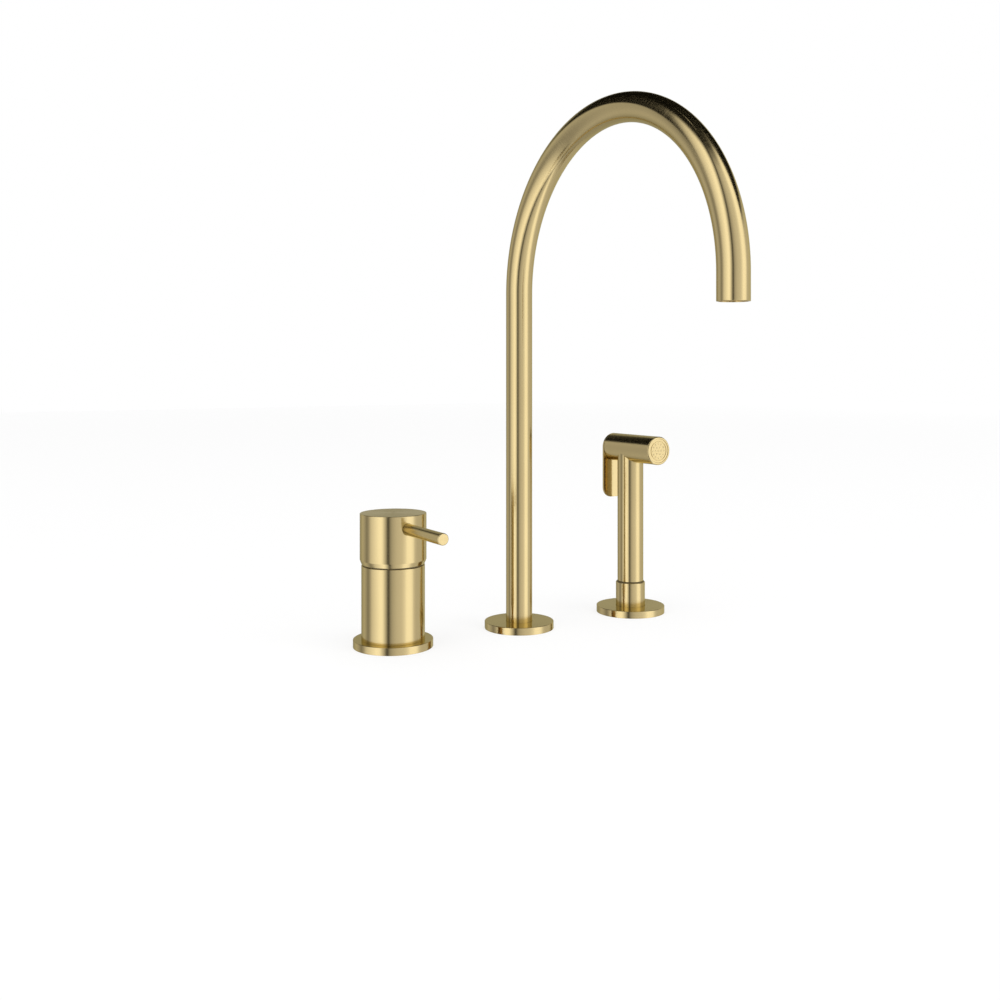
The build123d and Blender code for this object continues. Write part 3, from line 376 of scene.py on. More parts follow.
def slab(name, outline, section, at=(0, 0, 0), right=ACROSS, up=UP, out=BACKWARDS):
    """Flat piece: an outline in the plane of right and up, and a section (outset, depth) round it.

    Its brush lines run along right, and change often enough not to look like bands.
    """
    line_changes = 8  # per metre of outline, where lathe has one per turn
    section = soften(section, False)
    outline = [Vector(point) for point in outline]
    at, right, up, out = Vector(at), Vector(right), Vector(up), Vector(out)
    count = len(outline)
    area = sum(outline[i - 1].cross(outline[i]) for i in range(count))
    normals = []
    for i in range(count):
        along = outline[(i + 1) % count] - outline[i - 1]
        normals.append(Vector((along.y, -along.x)).normalized() * (1 if area > 0 else -1))
    points, flat = [], []
    for outset, depth in section:
        for point, normal in zip(outline, normals):
            moved = point + normal * outset
            points.append(at + right * moved.x + up * moved.y + out * depth)
            flat.append(((moved.y + depth) * MM, moved.x * MM * line_changes))
    faces = [tuple(range(count)), tuple(range(len(points) - 1, len(points) - count - 1, -1))]
    for row in range(len(section) - 1):
        for j in range(count):
            k = (j + 1) % count
            low, high = row * count, (row + 1) * count
            faces.append((low + j, high + j, high + k, low + k))
    return make_mesh(name, points, faces, [[flat[i] for i in face] for face in faces])


def settled(made):
    """Turns an object with a modifier into a plain mesh of the same name."""
    depsgraph = bpy.context.evaluated_depsgraph_get()
    mesh = bpy.data.meshes.new_from_object(made.evaluated_get(depsgraph), depsgraph=depsgraph)
    made.modifiers.clear()
    made.data = mesh
    return made


def carve(made, tool, operation="DIFFERENCE"):
    """Cuts a piece with a tool, or joins or meets the two, and deletes the tool."""
    boolean = made.modifiers.new("carve", "BOOLEAN")
    boolean.operation = operation
    boolean.solver = "EXACT"
    boolean.object = tool
    settled(made)
    bpy.data.objects.remove(tool)
    made.data.set_sharp_from_angle(angle=radians(SHARP))
    return made


def fit(made, body, material, *nodes, finish=None):
    """Gives a piece its finish and its body, and hides the CAD nodes that it stands for."""
    made.data.materials.clear()
    made.data.materials.append(finishes[finish or material])
    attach(made, body)
    for node in nodes:
        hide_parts(node)
    return made


# ------------------------------------------------------------------ finishes
def new_finish(name):
    """Empty material with a Principled shader, and its tree."""
    material = bpy.data.materials.new(name)
    material.use_nodes = True
    tree = material.node_tree
    tree.nodes.clear()
    shader = add(tree, "ShaderNodeBsdfPrincipled")
    add(tree, "ShaderNodeOutputMaterial", {"Surface": shader})
    return material, tree, shader


def brushed_brass(name, roughness, anisotropy):
    """Brass brushed round each piece's axis with fine abrasive and lacquered clear.

    The grooves run round, so lights stay sharp across a tube and smear along it.
    """
    line_pitch = 0.9  # mm; the real lines are about 0.1 mm apart, drawn coarser so that they show
    line_length = 1.6  # how often a line changes in a turn round the piece, per radian
    material, tree, shader = new_finish(name)
    place = add(tree, "ShaderNodeSeparateXYZ", {0: add(tree, "ShaderNodeUVMap", uv_map="brush")})
    per_metre = 1 / (line_pitch * MM)
    along = maths(tree, "MULTIPLY", place.outputs[0], per_metre)
    angle = maths(tree, "MULTIPLY", place.outputs[1], 2 * pi)
    ring_x = maths(tree, "MULTIPLY", maths(tree, "COSINE", angle), line_length)
    ring_y = maths(tree, "MULTIPLY", maths(tree, "SINE", angle), line_length)
    where = add(tree, "ShaderNodeCombineXYZ", {0: along, 1: ring_x, 2: ring_y})
    lines = add(tree, "ShaderNodeTexNoise", {"Vector": where, "Scale": 1.0, "Detail": 3.0})
    sheen = add(
        tree,
        "ShaderNodeMapRange",
        {"Value": lines, "From Min": 0.3, "From Max": 0.7, "To Min": roughness[0], "To Max": roughness[1]},
    )
    spot = add(tree, "ShaderNodeTexCoord")
    drift = add(
        tree,
        "ShaderNodeTexNoise",
        {"Vector": spot.outputs["Object"], "Scale": 18.0, "Detail": 1.0},
    )
    tone = add(
        tree,
        "ShaderNodeMix",
        {"Factor": drift, "A": colour("#C9B687"), "B": colour("#C1AE7F")},
        data_type="RGBA",
    )
    relief = add(tree, "ShaderNodeBump", {"Strength": 0.05, "Distance": 0.00002, "Height": lines})
    tangent = add(tree, "ShaderNodeTangent", direction_type="UV_MAP", uv_map="brush")
    tree.links.new(tone.outputs["Result"], shader.inputs["Base Color"])
    tree.links.new(sheen.outputs[0], shader.inputs["Roughness"])
    tree.links.new(relief.outputs[0], shader.inputs["Normal"])
    tree.links.new(tangent.outputs[0], shader.inputs["Tangent"])
    shader.inputs["Metallic"].default_value = 1.0
    shader.inputs["Anisotropic"].default_value = anisotropy
    # lacquered brass stays yellow where it is seen along its surface
    shader.inputs["Specular Tint"].default_value = colour("#F4EECB")
    return material


def grained(name, light, dark, metallic, roughness, grain_mm, depth, coat=0.0):
    """Finish with an even grain of one real size: two tones, a roughness range and a little relief."""
    material, tree, shader = new_finish(name)
    spot = add(tree, "ShaderNodeTexCoord")
    grain = add(
        tree,
        "ShaderNodeTexNoise",
        {"Vector": spot.outputs["Object"], "Scale": 1 / (grain_mm * MM), "Detail": 3.0},
    )
    tone = add(
        tree,
        "ShaderNodeMix",
        {"Factor": grain, "A": colour(light), "B": colour(dark)},
        data_type="RGBA",
    )
    sheen = add(
        tree,
        "ShaderNodeMapRange",
        {"Value": grain, "To Min": roughness[0], "To Max": roughness[1]},
    )
    relief = add(tree, "ShaderNodeBump", {"Strength": 0.3, "Distance": depth * MM, "Height": grain})
    tree.links.new(tone.outputs["Result"], shader.inputs["Base Color"])
    tree.links.new(sheen.outputs[0], shader.inputs["Roughness"])
    tree.links.new(relief.outputs[0], shader.inputs["Normal"])
    shader.inputs["Metallic"].default_value = metallic
    shader.inputs["Coat Weight"].default_value = coat
    return material


finishes = {
    "brushed_brass": brushed_brass("brass_brushed_and_lacquered", (0.13, 0.19), 0.8),
    # the flat thumb plate is buffed after brushing, so that it mirrors the handle
    "buffed_brass": brushed_brass("brass_buffed_and_lacquered", (0.1, 0.14), 0.5),
    # yellow, with fine tool marks and small changes of tone where it was handled
    "turned_brass": grained("brass_turned_bare", "#C9A868", "#B99756", 1.0, (0.22, 0.36), 0.5, 0.01),
    # neutral grey with a soft rolled surface
    "stainless_steel": grained(
        "stainless_steel_rolled", "#B9B8B5", "#A9A8A6", 1.0, (0.24, 0.36), 0.4, 0.005
    ),
    # nearly black and dull, with the mould's even pore
    "black_rubber": grained("epdm_rubber_moulded", "#1B1B1C", "#141415", 0.0, (0.68, 0.82), 0.25, 0.02),
    # milky beige in the tone of the brass, soft sheen
    "grey_silicone": grained("silicone_moulded", "#E4D09B", "#DBC792", 0.0, (0.45, 0.6), 0.3, 0.01),
    # slightly shiny moulded acetal, as the sliding rings are
    "black_plastic": grained("acetal_moulded_black", "#1C1B1A", "#151414", 0.0, (0.38, 0.5), 0.35, 0.01),
    # olive brown, dull: painted shade, the brass seen dark in the recesses round the glide ring and the
    # holder liner
    "recess_painted_shade": grained("ptfe_bronze_filled", "#6E6037", "#5C502C", 0.0, (0.4, 0.5), 0.2, 0.01),
    # natural acetal, milky white
    "pale_plastic": grained("acetal_moulded_natural", "#DEDACF", "#D2CDC0", 0.0, (0.35, 0.5), 0.35, 0.01),
    # ground and lapped ceramic, dense and almost white
    "alumina": grained("alumina_lapped", "#F0ECE2", "#E6E1D5", 0.0, (0.18, 0.26), 0.12, 0.003),
}

for entry in frame["record"]["subparts"]:
    solid = frame["nodes"][entry["node"]]
    solid.data.materials.clear()
    solid.data.materials.append(finishes[entry["material_slot"]])
# these two rings aren't in the black of their slot: their olive brown is painted shade, the dark brass of
# the recesses where they sit
for ring in ("glide_ring", "holder_liner"):
    frame["nodes"][ring].data.materials[0] = finishes["recess_painted_shade"]


# ------------------------------------------------------------------ shapes that follow a rule
def new_tree(name, given_name, result_name, inputs):
    """Geometry Nodes tree with a geometry and named inputs, and a shorthand for its sums."""
    tree = bpy.data.node_groups.new(name, "GeometryNodeTree")
    tree.interface.new_socket(given_name, in_out="INPUT", socket_type="NodeSocketGeometry")
    for label, kind in inputs:
        tree.interface.new_socket(label, in_out="INPUT", socket_type="NodeSocket" + kind)
    tree.interface.new_socket("Finish", in_out="INPUT", socket_type="NodeSocketMaterial")
    tree.interface.new_socket(result_name, in_out="OUTPUT", socket_type="NodeSocketGeometry")

    def sum_of(operation, first, second=0.0):
        return maths(tree, operation, first, second)

    return tree, add(tree, "NodeGroupInput").outputs, sum_of


def close_tree(tree, shape, given):
    """Ends a tree with real meshes in the given finish."""
    real = add(tree, "GeometryNodeRealizeInstances", {0: shape})
    dressed = add(tree, "GeometryNodeSetMaterial", {"Geometry": real, "Material": given["Finish"]})
    add(tree, "NodeGroupOutput", {0: dressed})
    return tree


def run_tree(made, tree, finish, **values):
    """Runs a tree on an object with these inputs, named in lower case, and keeps the plain mesh."""
    values["finish"] = finish
    modifier = made.modifiers.new(tree.name, "NODES")
    modifier.node_group = tree
    for socket in tree.interface.items_tree:
        key = socket.name.replace(" ", "_").lower()
        if key in values:
            modifier[socket.identifier] = values[key]
    return settled(made)


def bending():
    """Bends a straight upright tube into riser, half-circle arch and drop."""
    inputs = (("Spring line", "Float"), ("Bend radius", "Float"))
    tree, given, sum_of = new_tree("bend_into_arch", "Tube", "Arch", inputs)
    place = add(tree, "ShaderNodeSeparateXYZ", {0: add(tree, "GeometryNodeInputPosition")}).outputs
    radius = given["Bend radius"]
    above = sum_of("SUBTRACT", place["Z"], given["Spring line"])
    half_turn = sum_of("MULTIPLY", radius, pi)
    on_arch = sum_of("MINIMUM", sum_of("MAXIMUM", above, 0.0), half_turn)
    riser = sum_of("MINIMUM", above, 0.0)
    drop = sum_of("MAXIMUM", sum_of("SUBTRACT", above, half_turn), 0.0)
    angle = sum_of("DIVIDE", on_arch, radius)
    arm = sum_of("ADD", radius, place["Y"])
    new_y = sum_of("SUBTRACT", sum_of("MULTIPLY", arm, sum_of("COSINE", angle)), radius)
    rise = sum_of("MULTIPLY", arm, sum_of("SINE", angle))
    ends = sum_of("SUBTRACT", riser, drop)
    height = sum_of("ADD", sum_of("ADD", given["Spring line"], rise), ends)
    moved = add(tree, "ShaderNodeCombineXYZ", {0: place["X"], 1: new_y, 2: height})
    bent = add(tree, "GeometryNodeSetPosition", {"Geometry": given["Tube"], "Position": moved})
    return close_tree(tree, bent, given)


def threading():
    """Cuts a helical thread: points on the thread's radius move by a wave that climbs with the turn.

    A positive depth cuts inwards, as on a shank, and a negative one outwards, as in a bore.
    """
    inputs = [(label, "Float") for label in ("Axis x", "Thread radius", "Foot", "Top", "Pitch", "Depth")]
    tree, given, sum_of = new_tree("cut_thread", "Blank", "Threaded", inputs)
    place = add(tree, "ShaderNodeSeparateXYZ", {0: add(tree, "GeometryNodeInputPosition")}).outputs
    side = sum_of("SUBTRACT", place["X"], given["Axis x"])
    squares = sum_of("ADD", sum_of("MULTIPLY", side, side), sum_of("MULTIPLY", place["Y"], place["Y"]))
    radius = sum_of("SQRT", squares)
    off = sum_of("ABSOLUTE", sum_of("SUBTRACT", radius, given["Thread radius"]))
    on_thread = sum_of("LESS_THAN", off, 0.02 * MM)
    from_foot = sum_of("DIVIDE", sum_of("SUBTRACT", place["Z"], given["Foot"]), given["Pitch"])
    from_top = sum_of("DIVIDE", sum_of("SUBTRACT", given["Top"], place["Z"]), given["Pitch"])
    run_out = sum_of("MINIMUM", sum_of("MAXIMUM", sum_of("MINIMUM", from_foot, from_top), 0.0), 1.0)
    turn = sum_of("DIVIDE", sum_of("ARCTAN2", place["Y"], side), 2 * pi)
    climb = sum_of("FRACT", sum_of("ADD", sum_of("SUBTRACT", from_foot, turn), 1.0))
    wave = sum_of("ABSOLUTE", sum_of("SUBTRACT", sum_of("MULTIPLY", climb, 2.0), 1.0))
    full_cut = sum_of("MULTIPLY", wave, given["Depth"])
    cut = sum_of("MULTIPLY", full_cut, sum_of("MULTIPLY", run_out, on_thread))
    scale = sum_of("DIVIDE", sum_of("SUBTRACT", radius, cut), radius)
    new_x = sum_of("ADD", given["Axis x"], sum_of("MULTIPLY", side, scale))
    new_y = sum_of("MULTIPLY", place["Y"], scale)
    moved = add(tree, "ShaderNodeCombineXYZ", {0: new_x, 1: new_y, 2: place["Z"]})
    threaded = add(tree, "GeometryNodeSetPosition", {"Geometry": given["Blank"], "Position": moved})
    return close_tree(tree, threaded, given)


def circling():
    """Puts copies of a piece on a circle, each turned outwards, then tilts and places the circle."""
    inputs = (
        ("Copies", "Int"),
        ("Circle radius", "Float"),
        ("First angle", "Float"),
        ("Tilt", "Float"),
        ("Centre", "Vector"),
    )
    tree, given, sum_of = new_tree("copies_on_a_circle", "Piece", "Ring", inputs)
    share = sum_of("DIVIDE", add(tree, "GeometryNodeInputIndex"), given["Copies"])
    angle = sum_of("ADD", sum_of("MULTIPLY", share, 2 * pi), given["First angle"])
    right = sum_of("MULTIPLY", sum_of("COSINE", angle), given["Circle radius"])
    up = sum_of("MULTIPLY", sum_of("SINE", angle), given["Circle radius"])
    where = add(tree, "ShaderNodeCombineXYZ", {0: right, 1: up})
    facing = add(tree, "ShaderNodeCombineXYZ", {2: angle})
    spots = add(tree, "GeometryNodePoints", {"Count": given["Copies"], "Position": where})
    copies = add(
        tree,
        "GeometryNodeInstanceOnPoints",
        {"Points": spots, "Instance": given["Piece"], "Rotation": facing},
    )
    tilted = add(tree, "ShaderNodeCombineXYZ", {0: given["Tilt"]})
    placed = add(
        tree,
        "GeometryNodeTransform",
        {"Geometry": copies, "Translation": given["Centre"], "Rotation": tilted},
    )
    return close_tree(tree, placed, given)


bend_into_arch = bending()
cut_thread = threading()
copies_on_a_circle = circling()


def threaded(made, x, radius, foot, top, pitch, depth, finish):
    """Runs the thread tree on a turned blank; sizes in mm."""
    sizes = {"axis_x": x, "thread_radius": radius, "foot": foot, "top": top, "pitch": pitch, "depth": depth}
    return run_tree(made, cut_thread, finishes[finish], **{key: size * MM for key, size in sizes.items()})


def shank_thread(made, x, radius, finish):
    """Cuts the worktop thread on a shank."""
    threaded(made, x, radius, THREAD_END, THREAD_TOP, THREAD_PITCH, THREAD_DEPTH, finish)


def ringed(made, copies, radius, centre, finish, first_angle=0.0, tilt=0.0):
    """Runs the circle tree on a piece made at the origin; sizes in mm."""
    place = [value * MM for value in centre]
    return run_tree(
        made,
        copies_on_a_circle,
        finishes[finish],
        copies=copies,
        circle_radius=radius * MM,
        first_angle=radians(first_angle),
        tilt=radians(tilt),
        centre=place,
    )


# ------------------------------------------------------------------ foot rings and worktop fixing
def foot_ring(name, x, radius, lower_bore, upper_bore, step_height, node):
    """Foot ring: gasket groove below, bevelled rim, bore stepped for the piece that stands in it."""
    groove_outer = radius - GASKET_INSET
    groove_inner = groove_outer - GASKET_WIDTH
    corners = [
        (lower_bore, 0, EDGE),
        (groove_inner, 0, EDGE),
        (groove_inner, GASKET_HEIGHT, EDGE),
        (groove_outer, GASKET_HEIGHT, EDGE),
        (groove_outer, 0, EDGE),
        (radius, 0, EDGE),
        (radius, FLANGE_HEIGHT, BEVEL),
        (upper_bore, FLANGE_HEIGHT, JOINT),
        (upper_bore, step_height, EDGE),
        (lower_bore, step_height, EDGE),
    ]
    return fit(lathe(name, corners, (x, 0, 0), segments=200), "fixed_units", "brushed_brass", node)


UNITS = (
    ("mixer", MIXER_X, MIXER_FLANGE, MIXER_THREAD, BODY_SPIGOT, BODY_FOOT),
    ("spout", 0.0, SPOUT_FLANGE, SPOUT_THREAD, SPOUT_RADIUS, SPOUT_STEP),
    ("spray", SPRAY_X, SPRAY_FLANGE, SPRAY_THREAD, COLLAR_RADIUS, COLLAR_FOOT),
)
for unit, x, radius, thread, bore, step in UNITS:
    foot_ring(unit + "_foot_ring", x, radius, thread + FIT, bore + FIT, step, unit + "_flange")

for unit, x, radius, thread, bore, step in UNITS:
    inner = thread + WASHER_PLAY
    outer = thread + WASHER_WIDTH
    top = DECK_UNDERSIDE
    foot = top - RUBBER_WASHER
    corners = ((inner, foot), (outer, foot), (outer, top), (inner, top))
    soft = [(*corner, SOFT_EDGE) for corner in corners]
    washer = lathe(unit + "_rubber_ring", soft, (x, 0, 0))
    fit(washer, "fixed_units", "black_rubber", unit + "_rubber_washer")
    top = foot
    foot = top - STEEL_WASHER
    corners = ((inner, foot), (outer, foot), (outer, top), (inner, top))
    stamped = [(*corner, edge) for corner, edge in zip(corners, (BURR, ROLLED) * 2)]
    washer = lathe(unit + "_steel_ring", stamped, (x, 0, 0))
    fit(washer, "fixed_units", "stainless_steel", unit + "_steel_washer")
    top = foot
    foot = top - LOCK_NUT
    flat = thread + LOCK_NUT_WALL
    corner = flat / cos(pi / 6)
    face = NUT_FACE * flat
    chamfer = (corner - face) * tan(pi / 6)
    turned = [
        (thread + FIT, foot, 0.4),
        (face, foot, 0),
        (corner + FIT, foot + chamfer, 0),
        (corner + FIT, top - chamfer, 0),
        (face, top, 0),
        (thread + FIT, top, 0.4),
    ]
    hexagon = [(corner * cos(pi * k / 3), corner * sin(pi * k / 3)) for k in range(6)]
    flats = slab(
        "nut_flats",
        hexagon,
        [(0, foot - OVERCUT, 0), (0, top + OVERCUT, 0)],
        (x, 0, 0),
        *FROM_ABOVE,
    )
    nut = carve(lathe(unit + "_hexagon_nut", turned, (x, 0, 0)), flats, "INTERSECT")
    fit(nut, "fixed_units", "turned_brass", unit + "_lock_nut")

# ------------------------------------------------------------------ mixer
shank_tube = lathe(
    "mixer_threaded_tube",
    [
        (MIXER_BORE, THREAD_END, EDGE),
        (MIXER_THREAD - THREAD_CHAMFER, THREAD_END, 0),
        *rungs(MIXER_THREAD, THREAD_END + THREAD_CHAMFER, THREAD_TOP, THREAD_PITCH),
        (MIXER_THREAD, SOCKET_TOP, EDGE),
        (MIXER_BORE, SOCKET_TOP, EDGE),
    ],
    (MIXER_X, 0, 0),
    segments=96,
)
shank_thread(shank_tube, MIXER_X, MIXER_THREAD, "turned_brass")
fit(shank_tube, "fixed_units", "turned_brass", "mixer_shank")

barrel = lathe(
    "mixer_barrel",
    [
        (MIXER_THREAD + FIT, BODY_FOOT, EDGE),
        (BODY_SPIGOT, BODY_FOOT, EDGE),
        (BODY_SPIGOT, FLANGE_HEIGHT, EDGE),
        (BODY_RADIUS, FLANGE_HEIGHT, EDGE),
        (BODY_RADIUS, BODY_TOP, BEVEL),
        (NUT_BORE, BODY_TOP, EDGE),
        (NUT_BORE, CHAMBER_SHOULDER, EDGE),
        (CHAMBER_RADIUS, CHAMBER_SHOULDER, EDGE),
        (CHAMBER_RADIUS, CHAMBER_FLOOR, EDGE),
        (0, CHAMBER_FLOOR, 0),
        (0, SOCKET_TOP, 0),
        (MIXER_THREAD + FIT, SOCKET_TOP, EDGE),
    ],
    (MIXER_X, 0, 0),
    segments=200,
)
hose_drill = lathe(
    "hose_drill",
    [
        (0, -OVERCUT, 0),
        (HOSE_THREAD + COUNTERSINK, -OVERCUT, 0),
        (HOSE_THREAD + COUNTERSINK, 0, 0),
        (HOSE_THREAD, COUNTERSINK, 0),
        (HOSE_THREAD, HOSE_THREAD_LENGTH, 0),
        (PORT_RADIUS, HOSE_THREAD_LENGTH + 1, 0),
        (PORT_RADIUS, CHAMBER_FLOOR - SOCKET_TOP + OVERCUT, 0),
        (0, CHAMBER_FLOOR - SOCKET_TOP + OVERCUT, 0),
    ],
    closed=False,
    segments=48,
)
ringed(hose_drill, 3, HOSE_RING, (MIXER_X, 0, SOCKET_TOP), "turned_brass", FIRST_HOSE)
fit(carve(barrel, hose_drill), "fixed_units", "brushed_brass", "mixer_body")

cap = lathe(
    "mixer_turning_cap",
    [
        (0, CAP_TOP, 0),
        (CAP_RADIUS, CAP_TOP, BEVEL),
        (CAP_RADIUS, CAP_FOOT + CAP_CHAMFER_HEIGHT, 0.3),
        (CAP_RADIUS - CAP_CHAMFER_WIDTH, CAP_FOOT, EDGE),
        (CAP_BORE, CAP_FOOT, EDGE),
        (CAP_BORE, CROWN_FOOT, EDGE),
        (HUB_RADIUS, CROWN_FOOT, EDGE),
        (HUB_RADIUS, HUB_FOOT, EDGE),
        (0, HUB_FOOT, 0),
    ],
    (MIXER_X, 0, 0),
    closed=False,
    segments=256,
)
lever_seat = lathe(
    "lever_seat",
    [
        (0, LEVER_ROOT - STUD_LENGTH - OVERCUT, 0),
        (STUD_RADIUS + FIT, LEVER_ROOT - STUD_LENGTH - OVERCUT, 0),
        (STUD_RADIUS + FIT, LEVER_ROOT, 0),
        (LEVER_RADIUS + FIT, LEVER_ROOT, 0),
        (LEVER_RADIUS + FIT, LEVER_ROOT + 0.5, 0),
        (LEVER_RADIUS + LEVER_GAP, CAP_RADIUS + 0.05, 0),
        (LEVER_RADIUS + LEVER_GAP, CAP_RADIUS + 2, 0),
        (0, CAP_RADIUS + 2, 0),
    ],
    (MIXER_X, 0, LEVER_HEIGHT),
    TO_USER,
    closed=False,
    segments=96,
)
half = STEM_SQUARE / 2
stem_socket = slab(
    "stem_socket",
    [(-half, -half), (half, -half), (half, half), (-half, half)],
    [(0, HUB_FOOT - OVERCUT, 0), (0, STEM_SQUARE_TOP, 0)],
    (MIXER_X, 0, 0),
    *FROM_ABOVE,
)
fit(carve(carve(cap, lever_seat), stem_socket), "mixer_handle", "brushed_brass", "mixer_cap")

lever = lathe(
    "mixer_lever_rod",
    [
        (0, LEVER_ROOT - STUD_LENGTH, 0),
        (STUD_RADIUS, LEVER_ROOT - STUD_LENGTH, 0.4),
        (STUD_RADIUS, LEVER_ROOT, EDGE),
        (LEVER_RADIUS, LEVER_ROOT, EDGE),
        (LEVER_RADIUS, LEVER_REACH - LEVER_BEVEL, 0.15),
        (LEVER_RADIUS - LEVER_BEVEL, LEVER_REACH, 0.15),
        (0, LEVER_REACH, 0),
    ],
    (MIXER_X, 0, LEVER_HEIGHT),
    TO_USER,
    closed=False,
    segments=128,
)
fit(lever, "mixer_handle", "brushed_brass", "mixer_lever")

# ------------------------------------------------------------------ spout
tube_length = SPRING_LINE + pi * BEND_RADIUS + SPRING_LINE - OUTLET_HEIGHT
arch = lathe(
    "spout_arch",
    [
        (SPOUT_BORE, TUBE_FOOT, EDGE),
        (SPOUT_RADIUS, TUBE_FOOT, EDGE),
        (SPOUT_RADIUS, tube_length, BEVEL),
        (SPOUT_BORE, tube_length, EDGE),
    ],
    segments=112,
    step=3.5,
)
run_tree(
    arch,
    bend_into_arch,
    finishes["brushed_brass"],
    spring_line=SPRING_LINE * MM,
    bend_radius=BEND_RADIUS * MM,
)
fit(arch, "spout", "brushed_brass", "spout_tube")

shank = lathe(
    "spout_threaded_shank",
    [
        (SPIGOT_RADIUS + FIT, SHANK_HEAD, EDGE),
        (SPIGOT_RADIUS + FIT, CLIP_HEIGHT + CLIP_GROOVE, 0),
        (SPIGOT_RADIUS + CLIP_GROOVE, CLIP_HEIGHT + CLIP_GROOVE, 0),
        (SPIGOT_RADIUS + CLIP_GROOVE, CLIP_HEIGHT - CLIP_GROOVE, 0),
        (SPIGOT_RADIUS + FIT, CLIP_HEIGHT - CLIP_GROOVE, 0),
        (SPIGOT_RADIUS + FIT, SPIGOT_FLOOR, EDGE),
        (WATERWAY, SPIGOT_FLOOR, EDGE),
        (WATERWAY, HOSE_END_TOP, EDGE),
        *rungs(HOSE_END_RADIUS, HOSE_END_TOP, THREAD_END, HOSE_END_PITCH),
        (SPOUT_THREAD - THREAD_CHAMFER, THREAD_END, 0),
        *rungs(SPOUT_THREAD, THREAD_END + THREAD_CHAMFER, THREAD_TOP, THREAD_PITCH),
        (SPOUT_THREAD, SHANK_HEAD, EDGE),
    ],
    segments=96,
)
shank_thread(shank, 0, SPOUT_THREAD, "turned_brass")
bore_depth = -THREAD_DEPTH
threaded(shank, 0, HOSE_END_RADIUS, THREAD_END, HOSE_END_TOP, HOSE_END_PITCH, bore_depth, "turned_brass")
fit(shank, "fixed_units", "turned_brass", "spout_shank")

OUTLET_Y = -2 * BEND_RADIUS
threaded_ring = lathe(
    "outlet_threaded_ring",
    [
        *rungs(INSERT_RADIUS, INSERT_TOP - INSERT_SHOULDER, INSERT_FOOT, INLET_PITCH),
        (SPOUT_BORE - FIT, INSERT_FOOT, 0.25),
        (SPOUT_BORE - FIT, INSERT_TOP, EDGE),
        (AERATOR_BORE, INSERT_TOP, EDGE),
        (AERATOR_BORE, INSERT_TOP - INSERT_SHOULDER, EDGE),
    ],
    (0, OUTLET_Y, 0),
    segments=96,
)
fit(threaded_ring, "spout", "turned_brass", "outlet_insert")

shell = lathe(
    "aerator_shell",
    [
        (AERATOR_BORE, AERATOR_FOOT, 0.25),
        (AERATOR_RADIUS, AERATOR_FOOT, 0.25),
        (AERATOR_RADIUS, AERATOR_TOP, EDGE),
        (AERATOR_BORE, AERATOR_TOP, EDGE),
    ],
    (0, OUTLET_Y, 0),
)
notch = slab(
    "key_notch",
    [(-2, -NOTCH_WIDTH / 2), (2, -NOTCH_WIDTH / 2), (2, NOTCH_WIDTH / 2), (-2, NOTCH_WIDTH / 2)],
    [(0, -OVERCUT, 0), (0, NOTCH_DEPTH, 0)],
    (0, 0, 0),
    *FROM_ABOVE,
)
ring_middle = (AERATOR_BORE + AERATOR_RADIUS) / 2
ringed(notch, 4, ring_middle, (0, OUTLET_Y, AERATOR_FOOT), "pale_plastic", 45)
fit(carve(shell, notch), "spout", "pale_plastic", "aerator_housing")

# ------------------------------------------------------------------ side spray: what stands still
collar = lathe(
    "spray_collar",
    [
        (SPRAY_BORE, THREAD_END, EDGE),
        (SPRAY_THREAD - THREAD_CHAMFER, THREAD_END, 0),
        *rungs(SPRAY_THREAD, THREAD_END + THREAD_CHAMFER, THREAD_TOP, THREAD_PITCH),
        (SPRAY_THREAD, COLLAR_FOOT, EDGE),
        (COLLAR_RADIUS, COLLAR_FOOT, EDGE),
        (COLLAR_RADIUS, COLLAR_TOP, COLLAR_LIP),
        (MOUTH_RADIUS, COLLAR_TOP, EDGE),
        (MOUTH_RADIUS, MOUTH_FLOOR, EDGE),
        (LINER_BORE, MOUTH_FLOOR, EDGE),
        (LINER_BORE, LINER_FOOT, EDGE),
        (SPRAY_BORE, LINER_FOOT, EDGE),
    ],
    (SPRAY_X, 0, 0),
    segments=128,
)
shank_thread(collar, SPRAY_X, SPRAY_THREAD, "brushed_brass")
fit(collar, "fixed_units", "brushed_brass", "spray_holder")

# ------------------------------------------------------------------ side spray: handset
inlet = lathe(
    "hose_inlet",
    [
        (INLET_BORE, INLET_END, EDGE),
        *rungs(INLET_THREAD, INLET_END, INLET_TOP, INLET_PITCH),
        (INLET_THREAD, CONE_FOOT, 0),
        (CONE_FOOT_RADIUS - SEAT_GAP, CONE_FOOT, EDGE),
        (CONE_TOP_RADIUS - SEAT_GAP, LINER_TOP, EDGE),
        (NECK_RADIUS, LINER_TOP, EDGE),
        (NECK_RADIUS, SEAL_GROOVE_FOOT, 0),
        (SEAL_GROOVE, SEAL_GROOVE_FOOT, 0),
        (SEAL_GROOVE, SEAL_GROOVE_TOP, 0),
        (NECK_RADIUS, SEAL_GROOVE_TOP, 0),
        (NECK_RADIUS, NECK_GROOVE_FOOT, 0),
        (NECK_GROOVE, NECK_GROOVE_FOOT, 0),
        (NECK_GROOVE, NECK_GROOVE_TOP, 0),
        (NECK_RADIUS, NECK_GROOVE_TOP, 0),
        (NECK_RADIUS, NECK_TOP, EDGE),
        (NECK_BORE, NECK_TOP, EDGE),
        (NECK_BORE, CONE_FOOT, 0),
        (INLET_BORE, CONE_FOOT, 0),
    ],
    (SPRAY_X, 0, 0),
    segments=96,
)
threaded(inlet, SPRAY_X, INLET_THREAD, INLET_END, INLET_TOP, INLET_PITCH, INLET_DEPTH, "turned_brass")
fit(inlet, "spray_inlet", "turned_brass", "inlet_swivel")

